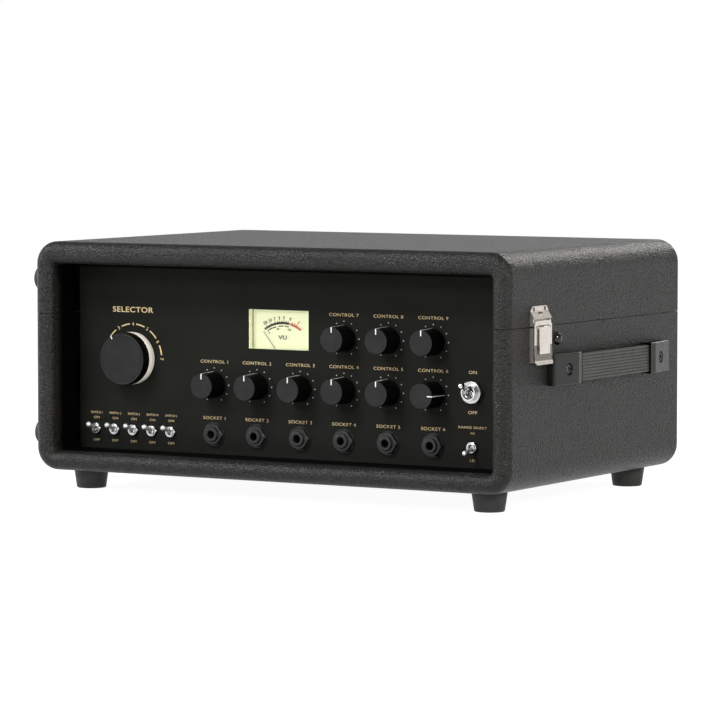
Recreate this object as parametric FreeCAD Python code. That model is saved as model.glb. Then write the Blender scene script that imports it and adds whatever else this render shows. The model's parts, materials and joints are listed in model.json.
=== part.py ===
import FreeCAD, Part
import math
import os

# Tape echo unit. All sizes in millimetres.
# The construction frame has X from the middle of the case, Y back from the front-most
# plane of the case and Z up from the underside of the case. write_node() moves every
# shape so that the origin is the middle of the whole footprint, at floor height.

V = FreeCAD.Vector
EPS = 0.01                     # how far a cutting tool runs past the face it opens
CLEAR = 0.3                    # gap between neighbouring pieces that do not touch

# ---------------------------------------------------------------- case
CASE_W = 415.0
CASE_H = 176.2
CASE_D = 279.8
CASE_CORNER_R = 17.4
SIDE_WALL = 15.0
TOP_WALL = 17.0
FLOOR_WALL = 14.5
REAR_WALL = 15.0
ROLL_OUTER_R = 7.4             # rolled front edge, outside
ROLL_INNER_R = 6.4             # rolled front edge, inside the opening
OPENING_CORNER_R = 3.0
REAR_EDGE_R = 3.0
SPLIT_Z = 120.7                # seam between base and lid
SPLIT_GAP = 0.4

REAR_CUT_W = 216.0             # opening in the rear wall for the connectors
REAR_CUT_Z0 = 24.0
REAR_CUT_Z1 = 92.0
REAR_CUT_R = 6.0

# ---------------------------------------------------------------- feet
FOOT_H = 15.0
FOOT_TOP_R = 13.5
FOOT_TIP_R = 11.25
FOOT_EDGE_R = 1.0
FOOT_INSET_X = 31.9            # from the case's side to the foot's axis
FOOT_FRONT_Y = 31.4
FOOT_REAR_INSET = 24.8         # from the case's back to the foot's axis
FOOT_SCREW_R = 4.5
FOOT_SCREW_DEPTH = 9.0

SIDE_FOOT_H = 11.5
SIDE_FOOT_BASE_R = 10.5
SIDE_FOOT_TIP_R = 9.4
SIDE_FOOT_EDGE_R = 2.0
SIDE_FOOT_INSET_Y = 25.6       # from the front and from the back
SIDE_FOOT_LOW_Z = 27.0
SIDE_FOOT_HIGH_Z = 146.5

# ---------------------------------------------------------------- front panel and chassis
PANEL_RECESS = 40.1            # front face of the panel behind the case's front
PANEL_T = 3.0
PANEL_SIDE_GAP = 0.6
PANEL_TOP_GAP = 3.4
SHEET_T = 1.5
CHASSIS_WALL_TOP_GAP = 2.0     # top of the front wall below the case's opening
BULKHEAD_Y = 80.0
DECK_T = 2.0
DECK_DROP = 8.7                # deck's upper face below the seam
REAR_PLATE_T = 2.0

# ---------------------------------------------------------------- controls on the panel
KNOB_PITCH = 38.3
KNOB_COLUMNS = 6
KNOB_COL_0 = -68.34
KNOB_LOWER_Z = 68.0
KNOB_UPPER_Z = 107.05
KNOB_UPPER_COLUMNS = 3         # the upper row stands over the last columns
KNOB_BASE_R = 10.2
KNOB_FACE_R = 9.6
KNOB_PROUD = 18.9
KNOB_FLOAT = 0.8               # between the knob and the panel
KNOB_EDGE_R = 0.5
KNOB_HOLLOW_R = 8.0
KNOB_HOLLOW_PROUD = 8.0
KNOB_MARK_W = 1.1
KNOB_MARK_L = 4.6
KNOB_MARK_DEPTH = 0.3
SHAFT_R = 3.0
SHAFT_FIT = 0.06               # radial running clearance of a shaft in its bush
POT_BUSH_R = 4.6
POT_BUSH_PROUD = 6.0
POT_BODY_R = 11.8
POT_BODY_D = 10.5
POT_NUT_AF = 11.0
POT_NUT_T = 2.2
POT_LUG_L = 6.0
SHAFT_IN_POT = 8.0
THREAD_GAP = 0.15              # radial gap of a bush in its panel hole

MODE_EDGE = 49.5               # selector axis from the panel's left edge
MODE_Z = 86.0
MODE_R = 20.2
MODE_PROUD = 16.2
MODE_RING_PROUD = 8.0
MODE_RING_INNER_R = 12.0
MODE_RIM_W = 1.7
MODE_RIM_DEPTH = 0.4
MODE_EDGE_R = 0.8
MODE_SWITCH_R = 16.0
MODE_SWITCH_D = 26.0
MODE_REST_ANGLE = -30.0        # where the selector points, clockwise from the top

TOGGLE_COUNT = 5
TOGGLE_EDGE = 15.5             # first toggle axis from the panel's left edge
TOGGLE_PITCH = 17.2
TOGGLE_Z = 30.3
RIGHT_EDGE = 35.3              # right column of switches from the panel's right edge
POWER_Z = 71.0

JACK_Z = 30.3
JACK_BORE_R = 3.25
JACK_BORE_L = 28.0
JACK_COLLAR_R = 5.4
JACK_PROUD = 5.6
JACK_NUT_AF = 15.6
JACK_NUT_T = 3.0
JACK_WASHER_R = 9.2
JACK_WASHER_T = 0.8
JACK_BODY_W = 20.0
JACK_BODY_D = 24.0

METER_X = -10.9
METER_Z = 111.8
METER_W = 53.0
METER_H = 30.0
METER_BODY_W = 60.0
METER_BODY_BELOW = 29.0        # body below the middle of the window
METER_BODY_ABOVE = 19.0
METER_BODY_D = 28.0
METER_WALL = 2.5
METER_DIAL_DEPTH = 6.6         # dial behind the panel's front face
METER_DIAL_T = 0.6
METER_DIAL_BELOW = 27.5
METER_LENS_T = 1.6
METER_LENS_RECESS = 0.3
METER_LENS_GAP = 0.1
NEEDLE_DROP = 22.7             # needle axis below the middle of the window
NEEDLE_L = 26.6
NEEDLE_W = 0.7
NEEDLE_T = 0.5
NEEDLE_HUB_R = 2.4
NEEDLE_PIN_R = 0.8
NEEDLE_REST = 38.0             # degrees to the left of straight up
NEEDLE_SLOT_W = 18.0

# ---------------------------------------------------------------- latch
LATCH_Y = 46.7
LATCH_W = 27.0
LATCH_SHEET = 0.9
LATCH_TOP_Z = 136.0
LATCH_CORNER = 3.0
LATCH_SCREW_R = 1.7
LATCH_SCREW_SPAN = 17.0
LATCH_SCREW_Z = 133.9
LATCH_SLOT_W = 7.0
LATCH_SLOT_H = 1.2
LATCH_SLOT_DROP = 3.2          # slot below the screws
LATCH_CHEEK_T = 1.0
LATCH_CHEEK_OUT = 2.9          # cheeks outside the case
LATCH_HOOD_DROP = 1.7          # hood's root below the screws
LATCH_HOOD_RISE = 2.4          # hood's lower edge above the pin
LATCH_PIN_X = 2.3              # pin's axis outside the case
LATCH_PIN_Z = 124.5
LATCH_PIN_R = 0.5
LATCH_EYE_R = 1.1
LATCH_GAP = 0.4
LEVER_GAP = 0.3                # between the cheeks and the lever
LEVER_SHEET = 0.9
LEVER_TOP = 0.9                # lever's top edge above its pin
LEVER_NECK_DROP = 1.4          # narrow part's end below the pin
LEVER_BEND_Z = 107.6
LEVER_BEND_OUT = 0.7
LEVER_BOTTOM_Z = 93.2
LEVER_LIP_H = 3.0
LEVER_LIP_OUT = 0.9
LEVER_LIP_CHAMFER = 2.5
CLAW_W = 16.0
CLAW_SHEET = 0.8
CLAW_PIN_Z = 120.5
CLAW_PIN_R = 0.5
CLAW_PIN_OUT = 0.5             # claw's axis outside the lever's face
CLAW_EYE_R = 1.0
CLAW_BOTTOM_Z = 101.0
CATCH_BOTTOM_Z = 94.6
CATCH_BAR_X = 3.4
CATCH_BAR_H = 1.8

# ---------------------------------------------------------------- handle
HANDLE_HALF_L = 95.1
HANDLE_LATCH_GAP = 0.6         # between the latch and the front cap
CAP_L = 38.4
CAP_CREST_INSET = 7.0          # from the strap's end of the cap
CAP_PROUD = 9.8                # at the crest
CAP_END_PROUD = 6.0            # at the outer end
CAP_MOUTH_DROP = 0.8           # from the crest to the strap's end
CAP_Z0 = 76.2
CAP_H = 23.6
CAP_END_R = 2.0
CAP_MOUTH_R = 0.6
STRAP_PROUD = 7.8
STRAP_T = 3.2
STRAP_H = 20.6
STRAP_IN_CAP = 14.0
STRAP_GROOVES = 8
STRAP_GROOVE_W = 0.9
STRAP_GROOVE_DEPTH = 0.5
STRAP_EDGE_R = 0.8
CAP_SCREW_R = 3.9
CAP_SCREW_AT = 19.5            # from the cap's outer end
CAP_SCREW_DEPTH = 2.4
BOLT_INSET = 15.5              # from the handle's front end
BOLT_Z = 110.5
BOLT_R = 5.1
BOLT_H = 3.6

# ---------------------------------------------------------------- hinges
HINGE_SPAN = 240.0
HINGE_W = 42.0
HINGE_LEAF_H = 22.0
HINGE_LEAF_T = 1.5
HINGE_BARREL_R = 3.0
HINGE_PIN_R = 1.5
HINGE_KNUCKLE_W = 14.0
HINGE_AXIS_OUT = 3.2

# ---------------------------------------------------------------- tape transport
TAPE_Y = 102.0
TAPE_T = 0.3
TAPE_W = 6.35
TAPE_X = 150.0                 # half length of the straight run past the heads
TAPE_CORNER_R = 6.0
TAPE_FOLDS = 13
TAPE_TRAY_GAP = 11.0           # from the tray's back to the furthest fold
TRAY_MARGIN = 22.0             # from the end folds to the tray's outer face
TRAY_FRONT_Y = 130.0
TRAY_NEAR_GAP = 12.0           # from the tray's front to the nearest fold
TRAY_BACK_GAP = 7.8            # from the tray to the rear wall
TRAY_WALL = 2.5
TRAY_FLOOR = 1.5
TRAY_H = 12.0
TRAY_SLOT_W = 6.0
TRAY_CORNER_R = 6.0
COVER_T = 2.0
COVER_KNOB_R = 7.0
COVER_KNOB_H = 9.0
HEAD_COUNT = 5
HEAD_PITCH = 36.0
HEAD_X0 = -96.0
HEAD_W = 14.0
HEAD_D = 13.0
HEAD_H = 10.0
HEAD_NOSE_R = 3.0
BRIDGE_T = 1.5
BRIDGE_MARGIN = 14.0
BRIDGE_D = 22.0
GUIDE_R = 5.5
GUIDE_TOP_R = 6.5
CAPSTAN_INSET = 46.0           # from the end of the tape's straight run
CAPSTAN_R = 3.0
CAPSTAN_TOP = 12.0
MOTOR_R = 18.0
MOTOR_H = 38.0
MOTOR_NOSE_R = 6.0
MOTOR_NOSE_H = 1.0
FLYWHEEL_R = 20.0
FLYWHEEL_H = 10.0
FLYWHEEL_GAP = 4.0
PINCH_R = 9.0
PINCH_PIN_R = 2.0
PINCH_ARM_L = 34.0
PINCH_ARM_W = 8.0
PINCH_ARM_T = 3.0
PINCH_BOSS_R = 6.0
PINCH_POST_R = 3.0

# ---------------------------------------------------------------- electronics
TANK_L = 235.0
TANK_BOARD_GAP = 8.5           # between the board and the tank
TANK_H = 33.0
TANK_X0 = -184.0
TANK_BACK_GAP = 6.0
TANK_SHEET = 1.2
TANK_BLOCK_L = 8.0
TANK_BLOCK_Z0 = 10.0           # end blocks above the chassis floor
TANK_BLOCK_H = 14.0
SPRING_R = 2.4
SPRING_INNER_R = 1.8
SPRING_PITCH = 26.0
BOARD_X0 = -182.0
BOARD_L = 226.0
BOARD_Y0 = 88.0
BOARD_D = 64.0
BOARD_T = 1.6
STANDOFF_H = 8.0
STANDOFF_R = 3.0
STANDOFF_INSET = 6.0
BOARD_PARTS = 7                # capacitors, and chips behind them
CAPACITOR_R = 5.0
CAPACITOR_H = 14.0
CHIP_L = 16.0
CHIP_W = 7.0
CHIP_H = 3.5
CORE_X = 130.0
CORE_Y = 180.0
CORE_L = 66.0
CORE_D = 24.0
CORE_H = 55.0
COIL_L = 30.0
COIL_D = 46.0
COIL_H = 32.0
INLET_X = 70.0
INLET_Z = 56.0
INLET_W = 30.0
INLET_H = 26.0
INLET_D = 24.0
INLET_FLANGE_W = 50.0
INLET_FLANGE_T = 2.0
SOCKET_W = 24.2
SOCKET_H = 16.6
SOCKET_DEPTH = 18.0
SOCKET_WALL = 1.4
PIN_L = 12.0
PIN_W = 4.0
PIN_T = 2.0
PIN_SPREAD = 7.0

# ---------------------------------------------------------------- derived places
HALF_W = CASE_W / 2
OPEN_HALF_W = HALF_W - SIDE_WALL
OPEN_TOP = CASE_H - TOP_WALL
INNER_BACK_Y = CASE_D - REAR_WALL
PANEL_FRONT = PANEL_RECESS
PANEL_BACK = PANEL_FRONT + PANEL_T
WALL_BACK = PANEL_BACK + SHEET_T
PANEL_HALF_W = OPEN_HALF_W - PANEL_SIDE_GAP
PANEL_BOTTOM = FLOOR_WALL + CLEAR
PANEL_TOP = OPEN_TOP - PANEL_TOP_GAP
CHASSIS_HALF_W = OPEN_HALF_W - OPENING_CORNER_R
CHASSIS_FLOOR = FLOOR_WALL + SHEET_T
DECK_TOP = SPLIT_Z - DECK_DROP
DECK_BOTTOM = DECK_TOP - DECK_T
REAR_PLATE_Y0 = INNER_BACK_Y - CLEAR - REAR_PLATE_T
REAR_PLATE_Y1 = REAR_PLATE_Y0 + REAR_PLATE_T
MODE_X = -PANEL_HALF_W + MODE_EDGE
RIGHT_X = PANEL_HALF_W - RIGHT_EDGE
TOGGLE_XS = [-PANEL_HALF_W + TOGGLE_EDGE + TOGGLE_PITCH * i for i in range(TOGGLE_COUNT)]
KNOB_XS = [KNOB_COL_0 + KNOB_PITCH * i for i in range(KNOB_COLUMNS)]
LOWER_KNOBS = [(x, KNOB_LOWER_Z) for x in KNOB_XS]
UPPER_KNOBS = [(x, KNOB_UPPER_Z) for x in KNOB_XS[-KNOB_UPPER_COLUMNS:]]
HINGE_Y = CASE_D + HINGE_AXIS_OUT
REAR_PROUD = HINGE_AXIS_OUT + HINGE_BARREL_R
LEVER_X = LATCH_CHEEK_OUT + LEVER_GAP
HANDLE_Y0 = LATCH_Y + LATCH_W / 2 + HANDLE_LATCH_GAP
HANDLE_Y = HANDLE_Y0 + HANDLE_HALF_L
BOLT_Y = HANDLE_Y0 + BOLT_INSET
TRAY_BACK_Y = INNER_BACK_Y - TRAY_BACK_GAP
TAPE_NEAR_Y = TRAY_FRONT_Y + TRAY_NEAR_GAP
TAPE_FAR_Y = TRAY_BACK_Y - TAPE_TRAY_GAP
TAPE_Z0 = DECK_TOP + TRAY_FLOOR + CLEAR
CAPSTAN_X = TAPE_X - CAPSTAN_INSET
CAPSTAN_Y = TAPE_Y + TAPE_T / 2 + CLEAR + CAPSTAN_R
PINCH_Y = TAPE_Y - TAPE_T / 2 - CLEAR - PINCH_R
PINCH_PIVOT_X = CAPSTAN_X + PINCH_ARM_L
OFFSET = V((SIDE_FOOT_H - CAP_PROUD) / 2, -(CASE_D + REAR_PROUD) / 2, FOOT_H)

MINI = {"bush_r": 2.95, "bush_proud": 3.6, "bore_r": 2.4, "pivot_proud": -0.6,
        "length": 12.5, "neck_r": 0.85, "neck_l": 5.0, "bat_r": 1.25, "bat_tip_r": 1.8,
        "tip_r": 2.2, "ball_r": 2.1, "tilt": 16.7,
        "nut_af": 8.2, "nut_t": 2.0, "washer_r": 4.0, "washer_t": 0.5,
        "body": (8.0, 10.0, 13.0)}
POWER = {"bush_r": 5.9, "bush_proud": 7.5, "bore_r": 4.9, "pivot_proud": -3.0,
         "length": 21.0, "neck_r": 1.6, "neck_l": 11.6, "bat_r": 1.7, "bat_tip_r": 2.3,
         "tip_r": 2.6, "ball_r": 4.6, "tilt": 16.0,
         "nut_af": 16.4, "nut_t": 2.6, "washer_r": 8.0, "washer_t": 1.0,
         "body": (18.0, 22.0, 30.0)}


# ---------------------------------------------------------------- helpers
def box(x0, x1, y0, y1, z0, z1):
    return Part.makeBox(x1 - x0, y1 - y0, z1 - z0, V(x0, y0, z0))


def rod_x(x, y, z, r, length):
    return Part.makeCylinder(r, length, V(x, y, z), V(1, 0, 0))


def rod_y(x, y, z, r, length):
    return Part.makeCylinder(r, length, V(x, y, z), V(0, 1, 0))


def rod_z(x, y, z, r, length):
    return Part.makeCylinder(r, length, V(x, y, z), V(0, 0, 1))


def rounded_rect(x0, x1, z0, z1, y, r):
    """Closed wire of a rectangle with rounded corners in the plane Y = y."""
    edges = []
    for cx, cz, start in ((x1 - r, z1 - r, 0), (x0 + r, z1 - r, 90),
                          (x0 + r, z0 + r, 180), (x1 - r, z0 + r, 270)):
        arc = [V(cx + r * math.cos(math.radians(start + a)), y,
                 cz + r * math.sin(math.radians(start + a))) for a in (0, 45, 90)]
        edges.append(Part.Arc(*arc).toShape())
    corners = [(e.Vertexes[0].Point, e.Vertexes[1].Point) for e in edges]
    for i in range(4):
        edges.append(Part.makeLine(corners[i][1], corners[(i + 1) % 4][0]))
    return Part.Wire(Part.__sortEdges__(edges))


def rounded_slab(x0, x1, z0, z1, y0, y1, r):
    face = Part.Face(rounded_rect(x0, x1, z0, z1, y0, r))
    return face.extrude(V(0, y1 - y0, 0))


def prism(points, direction):
    wire = Part.makePolygon(points + [points[0]])
    return Part.Face(wire).extrude(direction)


def hex_nut(x, z, y_back, across_flats, thick, bore_r):
    """Hexagon nut on the panel: corners left and right, front face towards -Y."""
    corner = across_flats / 2 / math.cos(math.radians(30))
    points = [V(x + corner * math.cos(math.radians(60 * i)), y_back,
                z + corner * math.sin(math.radians(60 * i))) for i in range(6)]
    nut = prism(points, V(0, -thick, 0))
    crown = Part.makeCone(corner + thick, across_flats / 2 * 0.98, thick * 1.6,
                          V(x, y_back + thick * 0.6, z), V(0, -1, 0))
    return nut.common(crown).cut(rod_y(x, y_back - thick - EPS, z, bore_r, thick + 2 * EPS))


def washer(x, z, y_back, r, thick, bore_r):
    disc = rod_y(x, y_back - thick, z, r, thick)
    return disc.cut(rod_y(x, y_back - thick - EPS, z, bore_r, thick + 2 * EPS))


def edges_at(shape, test):
    return [e for e in shape.Edges if all(test(v.Point) for v in e.Vertexes)]


def rounded(shape, radius, test):
    return shape.makeFillet(radius, edges_at(shape, test))


def near(a, b):
    return abs(a - b) < 0.001


def edges_along(shape, axis, test):
    """The straight edges along an axis whose ends pass the test."""
    return [e for e in edges_at(shape, test) if abs(e.tangentAt(e.FirstParameter).dot(axis)) > 0.9]


def left_of(shape):
    """The mirror copy of a right-hand piece on the left side of the case."""
    return shape.mirror(V(0, 0, 0), V(1, 0, 0))


def write_node(name, shapes):
    placed = []
    for shape in shapes:
        copy = shape.copy()
        copy.translate(OFFSET)
        placed.append(copy)
    solid = placed[0] if len(placed) == 1 else Part.makeCompound(placed)
    solid.exportStep("parts/" + name + ".step")


# ---------------------------------------------------------------- case
def case_shell():
    outer = rounded_slab(-HALF_W, HALF_W, 0, CASE_H, 0, CASE_D, CASE_CORNER_R)
    outer = rounded(outer, ROLL_OUTER_R, lambda p: near(p.y, 0))
    outer = rounded(outer, REAR_EDGE_R, lambda p: near(p.y, CASE_D))
    inner = rounded_slab(-OPEN_HALF_W, OPEN_HALF_W, FLOOR_WALL, OPEN_TOP,
                         -EPS, INNER_BACK_Y, OPENING_CORNER_R)
    shell = outer.cut(inner)
    roll = min(ROLL_INNER_R, min(SIDE_WALL, TOP_WALL, FLOOR_WALL) - ROLL_OUTER_R - 0.2)
    rim = edges_at(shell, lambda p: near(p.y, 0) and abs(p.x) < OPEN_HALF_W + EPS
                   and FLOOR_WALL - EPS < p.z < OPEN_TOP + EPS)
    return shell.makeFillet(roll, rim)


def case_halves():
    shell = case_shell()
    cut = rounded_slab(-REAR_CUT_W / 2, REAR_CUT_W / 2, REAR_CUT_Z0, REAR_CUT_Z1,
                       INNER_BACK_Y - EPS, CASE_D + EPS, REAR_CUT_R)
    shell = shell.cut(cut)
    low = SPLIT_Z - SPLIT_GAP / 2
    high = SPLIT_Z + SPLIT_GAP / 2
    base = shell.common(box(-CASE_W, CASE_W, -EPS, CASE_D + EPS, -EPS, low))
    lid = shell.common(box(-CASE_W, CASE_W, -EPS, CASE_D + EPS, high, CASE_H + EPS))
    return base, lid


def foot(x, y):
    body = Part.makeCone(FOOT_TIP_R, FOOT_TOP_R, FOOT_H, V(x, y, -FOOT_H), V(0, 0, 1))
    body = rounded(body, FOOT_EDGE_R, lambda p: near(p.z, -FOOT_H))
    return body.cut(rod_z(x, y, -FOOT_H - EPS, FOOT_SCREW_R, FOOT_SCREW_DEPTH))


def feet():
    x = HALF_W - FOOT_INSET_X
    return [foot(sx * x, y) for sx in (-1, 1) for y in (FOOT_FRONT_Y, CASE_D - FOOT_REAR_INSET)]


def side_feet(z):
    made = []
    for y in (SIDE_FOOT_INSET_Y, CASE_D - SIDE_FOOT_INSET_Y):
        body = Part.makeCone(SIDE_FOOT_BASE_R, SIDE_FOOT_TIP_R, SIDE_FOOT_H,
                             V(-HALF_W, y, z), V(-1, 0, 0))
        made.append(rounded(body, SIDE_FOOT_EDGE_R, lambda p: near(p.x, -HALF_W - SIDE_FOOT_H)))
    return made


# ---------------------------------------------------------------- panel, chassis, deck
def panel_holes():
    """Every round hole through panel and chassis wall: (x, z, radius)."""
    holes = [(x, z, POT_BUSH_R + THREAD_GAP) for x, z in LOWER_KNOBS + UPPER_KNOBS]
    holes.append((MODE_X, MODE_Z, POT_BUSH_R + THREAD_GAP))
    holes += [(x, JACK_Z, JACK_COLLAR_R + THREAD_GAP) for x in KNOB_XS]
    holes += [(x, TOGGLE_Z, MINI["bush_r"] + THREAD_GAP) for x in TOGGLE_XS + [RIGHT_X]]
    holes.append((RIGHT_X, POWER_Z, POWER["bush_r"] + THREAD_GAP))
    return holes


def drill(plate, y0, y1):
    for x, z, r in panel_holes():
        plate = plate.cut(rod_y(x, y0 - EPS, z, r, y1 - y0 + 2 * EPS))
    return plate


def front_panel():
    plate = box(-PANEL_HALF_W, PANEL_HALF_W, PANEL_FRONT, PANEL_BACK, PANEL_BOTTOM, PANEL_TOP)
    plate = plate.makeFillet(OPENING_CORNER_R, edges_along(plate, V(0, 1, 0),
                                                           lambda p: near(p.z, PANEL_BOTTOM)))
    window = box(METER_X - METER_W / 2, METER_X + METER_W / 2, PANEL_FRONT - EPS,
                 PANEL_BACK + EPS, METER_Z - METER_H / 2, METER_Z + METER_H / 2)
    return drill(plate.cut(window), PANEL_FRONT, PANEL_BACK)


def chassis():
    half = CHASSIS_HALF_W
    floor = box(-half, half, PANEL_BACK, REAR_PLATE_Y0, FLOOR_WALL, CHASSIS_FLOOR)
    wall = box(-half, half, PANEL_BACK, WALL_BACK, FLOOR_WALL, OPEN_TOP - CHASSIS_WALL_TOP_GAP)
    window = box(METER_X - METER_BODY_W / 2 - 0.3, METER_X + METER_BODY_W / 2 + 0.3,
                 PANEL_BACK - EPS, WALL_BACK + EPS,
                 METER_Z - METER_BODY_BELOW - 0.3, METER_Z + METER_BODY_ABOVE + 0.3)
    wall = drill(wall.cut(window), PANEL_BACK, WALL_BACK)
    bulkhead = box(-half, half, BULKHEAD_Y, BULKHEAD_Y + SHEET_T, FLOOR_WALL, DECK_BOTTOM)
    return floor.fuse([wall, bulkhead]).removeSplitter()


def pinch_post():
    top = TAPE_Z0 + TAPE_W + 2 * CLEAR + PINCH_ARM_T + CLEAR
    post = rod_z(PINCH_PIVOT_X, PINCH_Y, DECK_TOP, PINCH_POST_R, top - DECK_TOP)
    return post.fuse(rod_z(PINCH_PIVOT_X, PINCH_Y, top, PINCH_BOSS_R - 1, 1.5))


def deck_plate():
    plate = box(-CHASSIS_HALF_W, CHASSIS_HALF_W, BULKHEAD_Y, REAR_PLATE_Y1, DECK_BOTTOM, DECK_TOP)
    hole = rod_z(CAPSTAN_X, CAPSTAN_Y, DECK_BOTTOM - EPS, MOTOR_NOSE_R + THREAD_GAP, DECK_T + 2 * EPS)
    return plate.cut(hole).fuse(pinch_post()).removeSplitter()


def rear_panel():
    plate = box(-CHASSIS_HALF_W, CHASSIS_HALF_W, REAR_PLATE_Y0, REAR_PLATE_Y1,
                FLOOR_WALL, DECK_BOTTOM)
    hole = box(INLET_X - INLET_W / 2 - 0.3, INLET_X + INLET_W / 2 + 0.3,
               REAR_PLATE_Y0 - EPS, REAR_PLATE_Y1 + EPS,
               INLET_Z - INLET_H / 2 - 0.3, INLET_Z + INLET_H / 2 + 0.3)
    return plate.cut(hole)


# ---------------------------------------------------------------- knobs and selector
def knob(x, z, pointer_angle):
    base_y = PANEL_FRONT - KNOB_FLOAT
    face_y = PANEL_FRONT - KNOB_PROUD
    body = Part.makeCone(KNOB_FACE_R, KNOB_BASE_R, base_y - face_y, V(x, face_y, z), V(0, 1, 0))
    body = rounded(body, KNOB_EDGE_R, lambda p: near(p.y, face_y))
    hollow_y = PANEL_FRONT - KNOB_HOLLOW_PROUD
    body = body.cut(rod_y(x, hollow_y, z, KNOB_HOLLOW_R, base_y - hollow_y + EPS))
    mark = box(x - KNOB_MARK_W / 2, x + KNOB_MARK_W / 2, face_y - EPS, face_y + KNOB_MARK_DEPTH,
               z + KNOB_FACE_R - KNOB_MARK_L, z + KNOB_FACE_R + EPS)
    mark.rotate(V(x, 0, z), V(0, 1, 0), pointer_angle)
    shaft_end = WALL_BACK + SHAFT_IN_POT
    shaft = rod_y(x, hollow_y - 1, z, SHAFT_R, shaft_end - hollow_y + 1)
    return body.cut(mark).fuse(shaft).removeSplitter()


def potentiometer(x, z):
    front = PANEL_FRONT - POT_BUSH_PROUD
    body = rod_y(x, WALL_BACK, z, POT_BODY_R, POT_BODY_D)
    bush = rod_y(x, front, z, POT_BUSH_R, WALL_BACK - front)
    body = body.fuse(bush)
    for i in (-1, 0, 1):
        lug = box(x + 5 * i - 1, x + 5 * i + 1, WALL_BACK + 2, WALL_BACK + 3,
                  z - POT_BODY_R - POT_LUG_L, z - POT_BODY_R + 1)
        body = body.fuse(lug)
    bore = rod_y(x, front - EPS, z, SHAFT_R + SHAFT_FIT, WALL_BACK + SHAFT_IN_POT + 0.5 - front)
    nut = hex_nut(x, z, PANEL_FRONT, POT_NUT_AF, POT_NUT_T, POT_BUSH_R)
    return [body.cut(bore).removeSplitter(), nut]


def mode_ring():
    back = PANEL_FRONT - KNOB_FLOAT
    front = PANEL_FRONT - MODE_RING_PROUD
    ring = rod_y(MODE_X, front, MODE_Z, MODE_R, back - front)
    return ring.cut(rod_y(MODE_X, front - EPS, MODE_Z, MODE_RING_INNER_R, back - front + 2 * EPS))


def mode_knob():
    face_y = PANEL_FRONT - MODE_PROUD
    back_y = PANEL_FRONT - MODE_RING_PROUD
    cap = rod_y(MODE_X, face_y, MODE_Z, MODE_R, back_y - face_y)
    cap = rounded(cap, MODE_EDGE_R, lambda p: near(p.y, face_y))
    groove_r = MODE_R - MODE_RIM_W
    groove = rod_y(MODE_X, face_y - EPS, MODE_Z, groove_r, MODE_RIM_DEPTH)
    groove = groove.cut(rod_y(MODE_X, face_y - 2 * EPS, MODE_Z, groove_r - 0.7, MODE_RIM_DEPTH + 1))
    mark = box(MODE_X - KNOB_MARK_W / 2, MODE_X + KNOB_MARK_W / 2, face_y - EPS,
               face_y + MODE_EDGE_R, MODE_Z + groove_r - 1, MODE_Z + MODE_R + EPS)
    mark.rotate(V(MODE_X, 0, MODE_Z), V(0, 1, 0), MODE_REST_ANGLE)
    shaft_end = WALL_BACK + MODE_SWITCH_D - 4
    shaft = rod_y(MODE_X, back_y - 1, MODE_Z, SHAFT_R, shaft_end - back_y + 1)
    return cap.cut(groove).cut(mark).fuse(shaft).removeSplitter()


def mode_switch():
    front = PANEL_FRONT - POT_BUSH_PROUD
    body = rod_y(MODE_X, WALL_BACK, MODE_Z, MODE_SWITCH_R * 0.6, MODE_SWITCH_D)
    for i in range(3):
        wafer_y = WALL_BACK + i * MODE_SWITCH_D / 3 + 2
        body = body.fuse(rod_y(MODE_X, wafer_y, MODE_Z, MODE_SWITCH_R, 2))
    bush = rod_y(MODE_X, front, MODE_Z, POT_BUSH_R, WALL_BACK - front)
    bore = rod_y(MODE_X, front - EPS, MODE_Z, SHAFT_R + SHAFT_FIT,
                 WALL_BACK + MODE_SWITCH_D - 3 - front)
    nut = hex_nut(MODE_X, MODE_Z, PANEL_FRONT, POT_NUT_AF, POT_NUT_T, POT_BUSH_R)
    return [body.fuse(bush).cut(bore).removeSplitter(), nut]


# ---------------------------------------------------------------- toggle switches
def toggle_body(x, z, kind):
    width, depth, height = kind["body"]
    front = PANEL_FRONT - kind["bush_proud"]
    pivot_y = PANEL_FRONT - kind["pivot_proud"]
    body = box(x - width / 2, x + width / 2, WALL_BACK, WALL_BACK + depth,
               z - height / 2, z + height / 2)
    body = body.fuse(rod_y(x, front, z, kind["bush_r"], WALL_BACK - front))
    bore_end = pivot_y + kind["ball_r"] + CLEAR
    return body.cut(rod_y(x, front - EPS, z, kind["bore_r"], bore_end - front)).removeSplitter()


def toggle_nut(x, z, kind):
    disc = washer(x, z, PANEL_FRONT, kind["washer_r"], kind["washer_t"], kind["bush_r"])
    nut = hex_nut(x, z, PANEL_FRONT - kind["washer_t"], kind["nut_af"], kind["nut_t"], kind["bush_r"])
    return [disc, nut]


def toggle_lever(x, z, kind, up):
    """Bat lever on its ball; tilted up or down about the ball's middle."""
    pivot = V(x, PANEL_FRONT - kind["pivot_proud"], z)
    neck_l = kind["neck_l"]
    bat_l = kind["length"] - neck_l
    ball = Part.makeSphere(kind["ball_r"], pivot)
    neck = Part.makeCylinder(kind["neck_r"], neck_l + EPS, pivot, V(0, -1, 0))
    bat = Part.makeCone(kind["bat_r"], kind["bat_tip_r"], bat_l,
                        pivot + V(0, -neck_l, 0), V(0, -1, 0))
    cap = Part.makeSphere(kind["tip_r"], pivot + V(0, -kind["length"], 0))
    lever = ball.fuse([neck, bat, cap])
    lever.rotate(pivot, V(1, 0, 0), -kind["tilt"] if up else kind["tilt"])
    return lever.removeSplitter()


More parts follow.
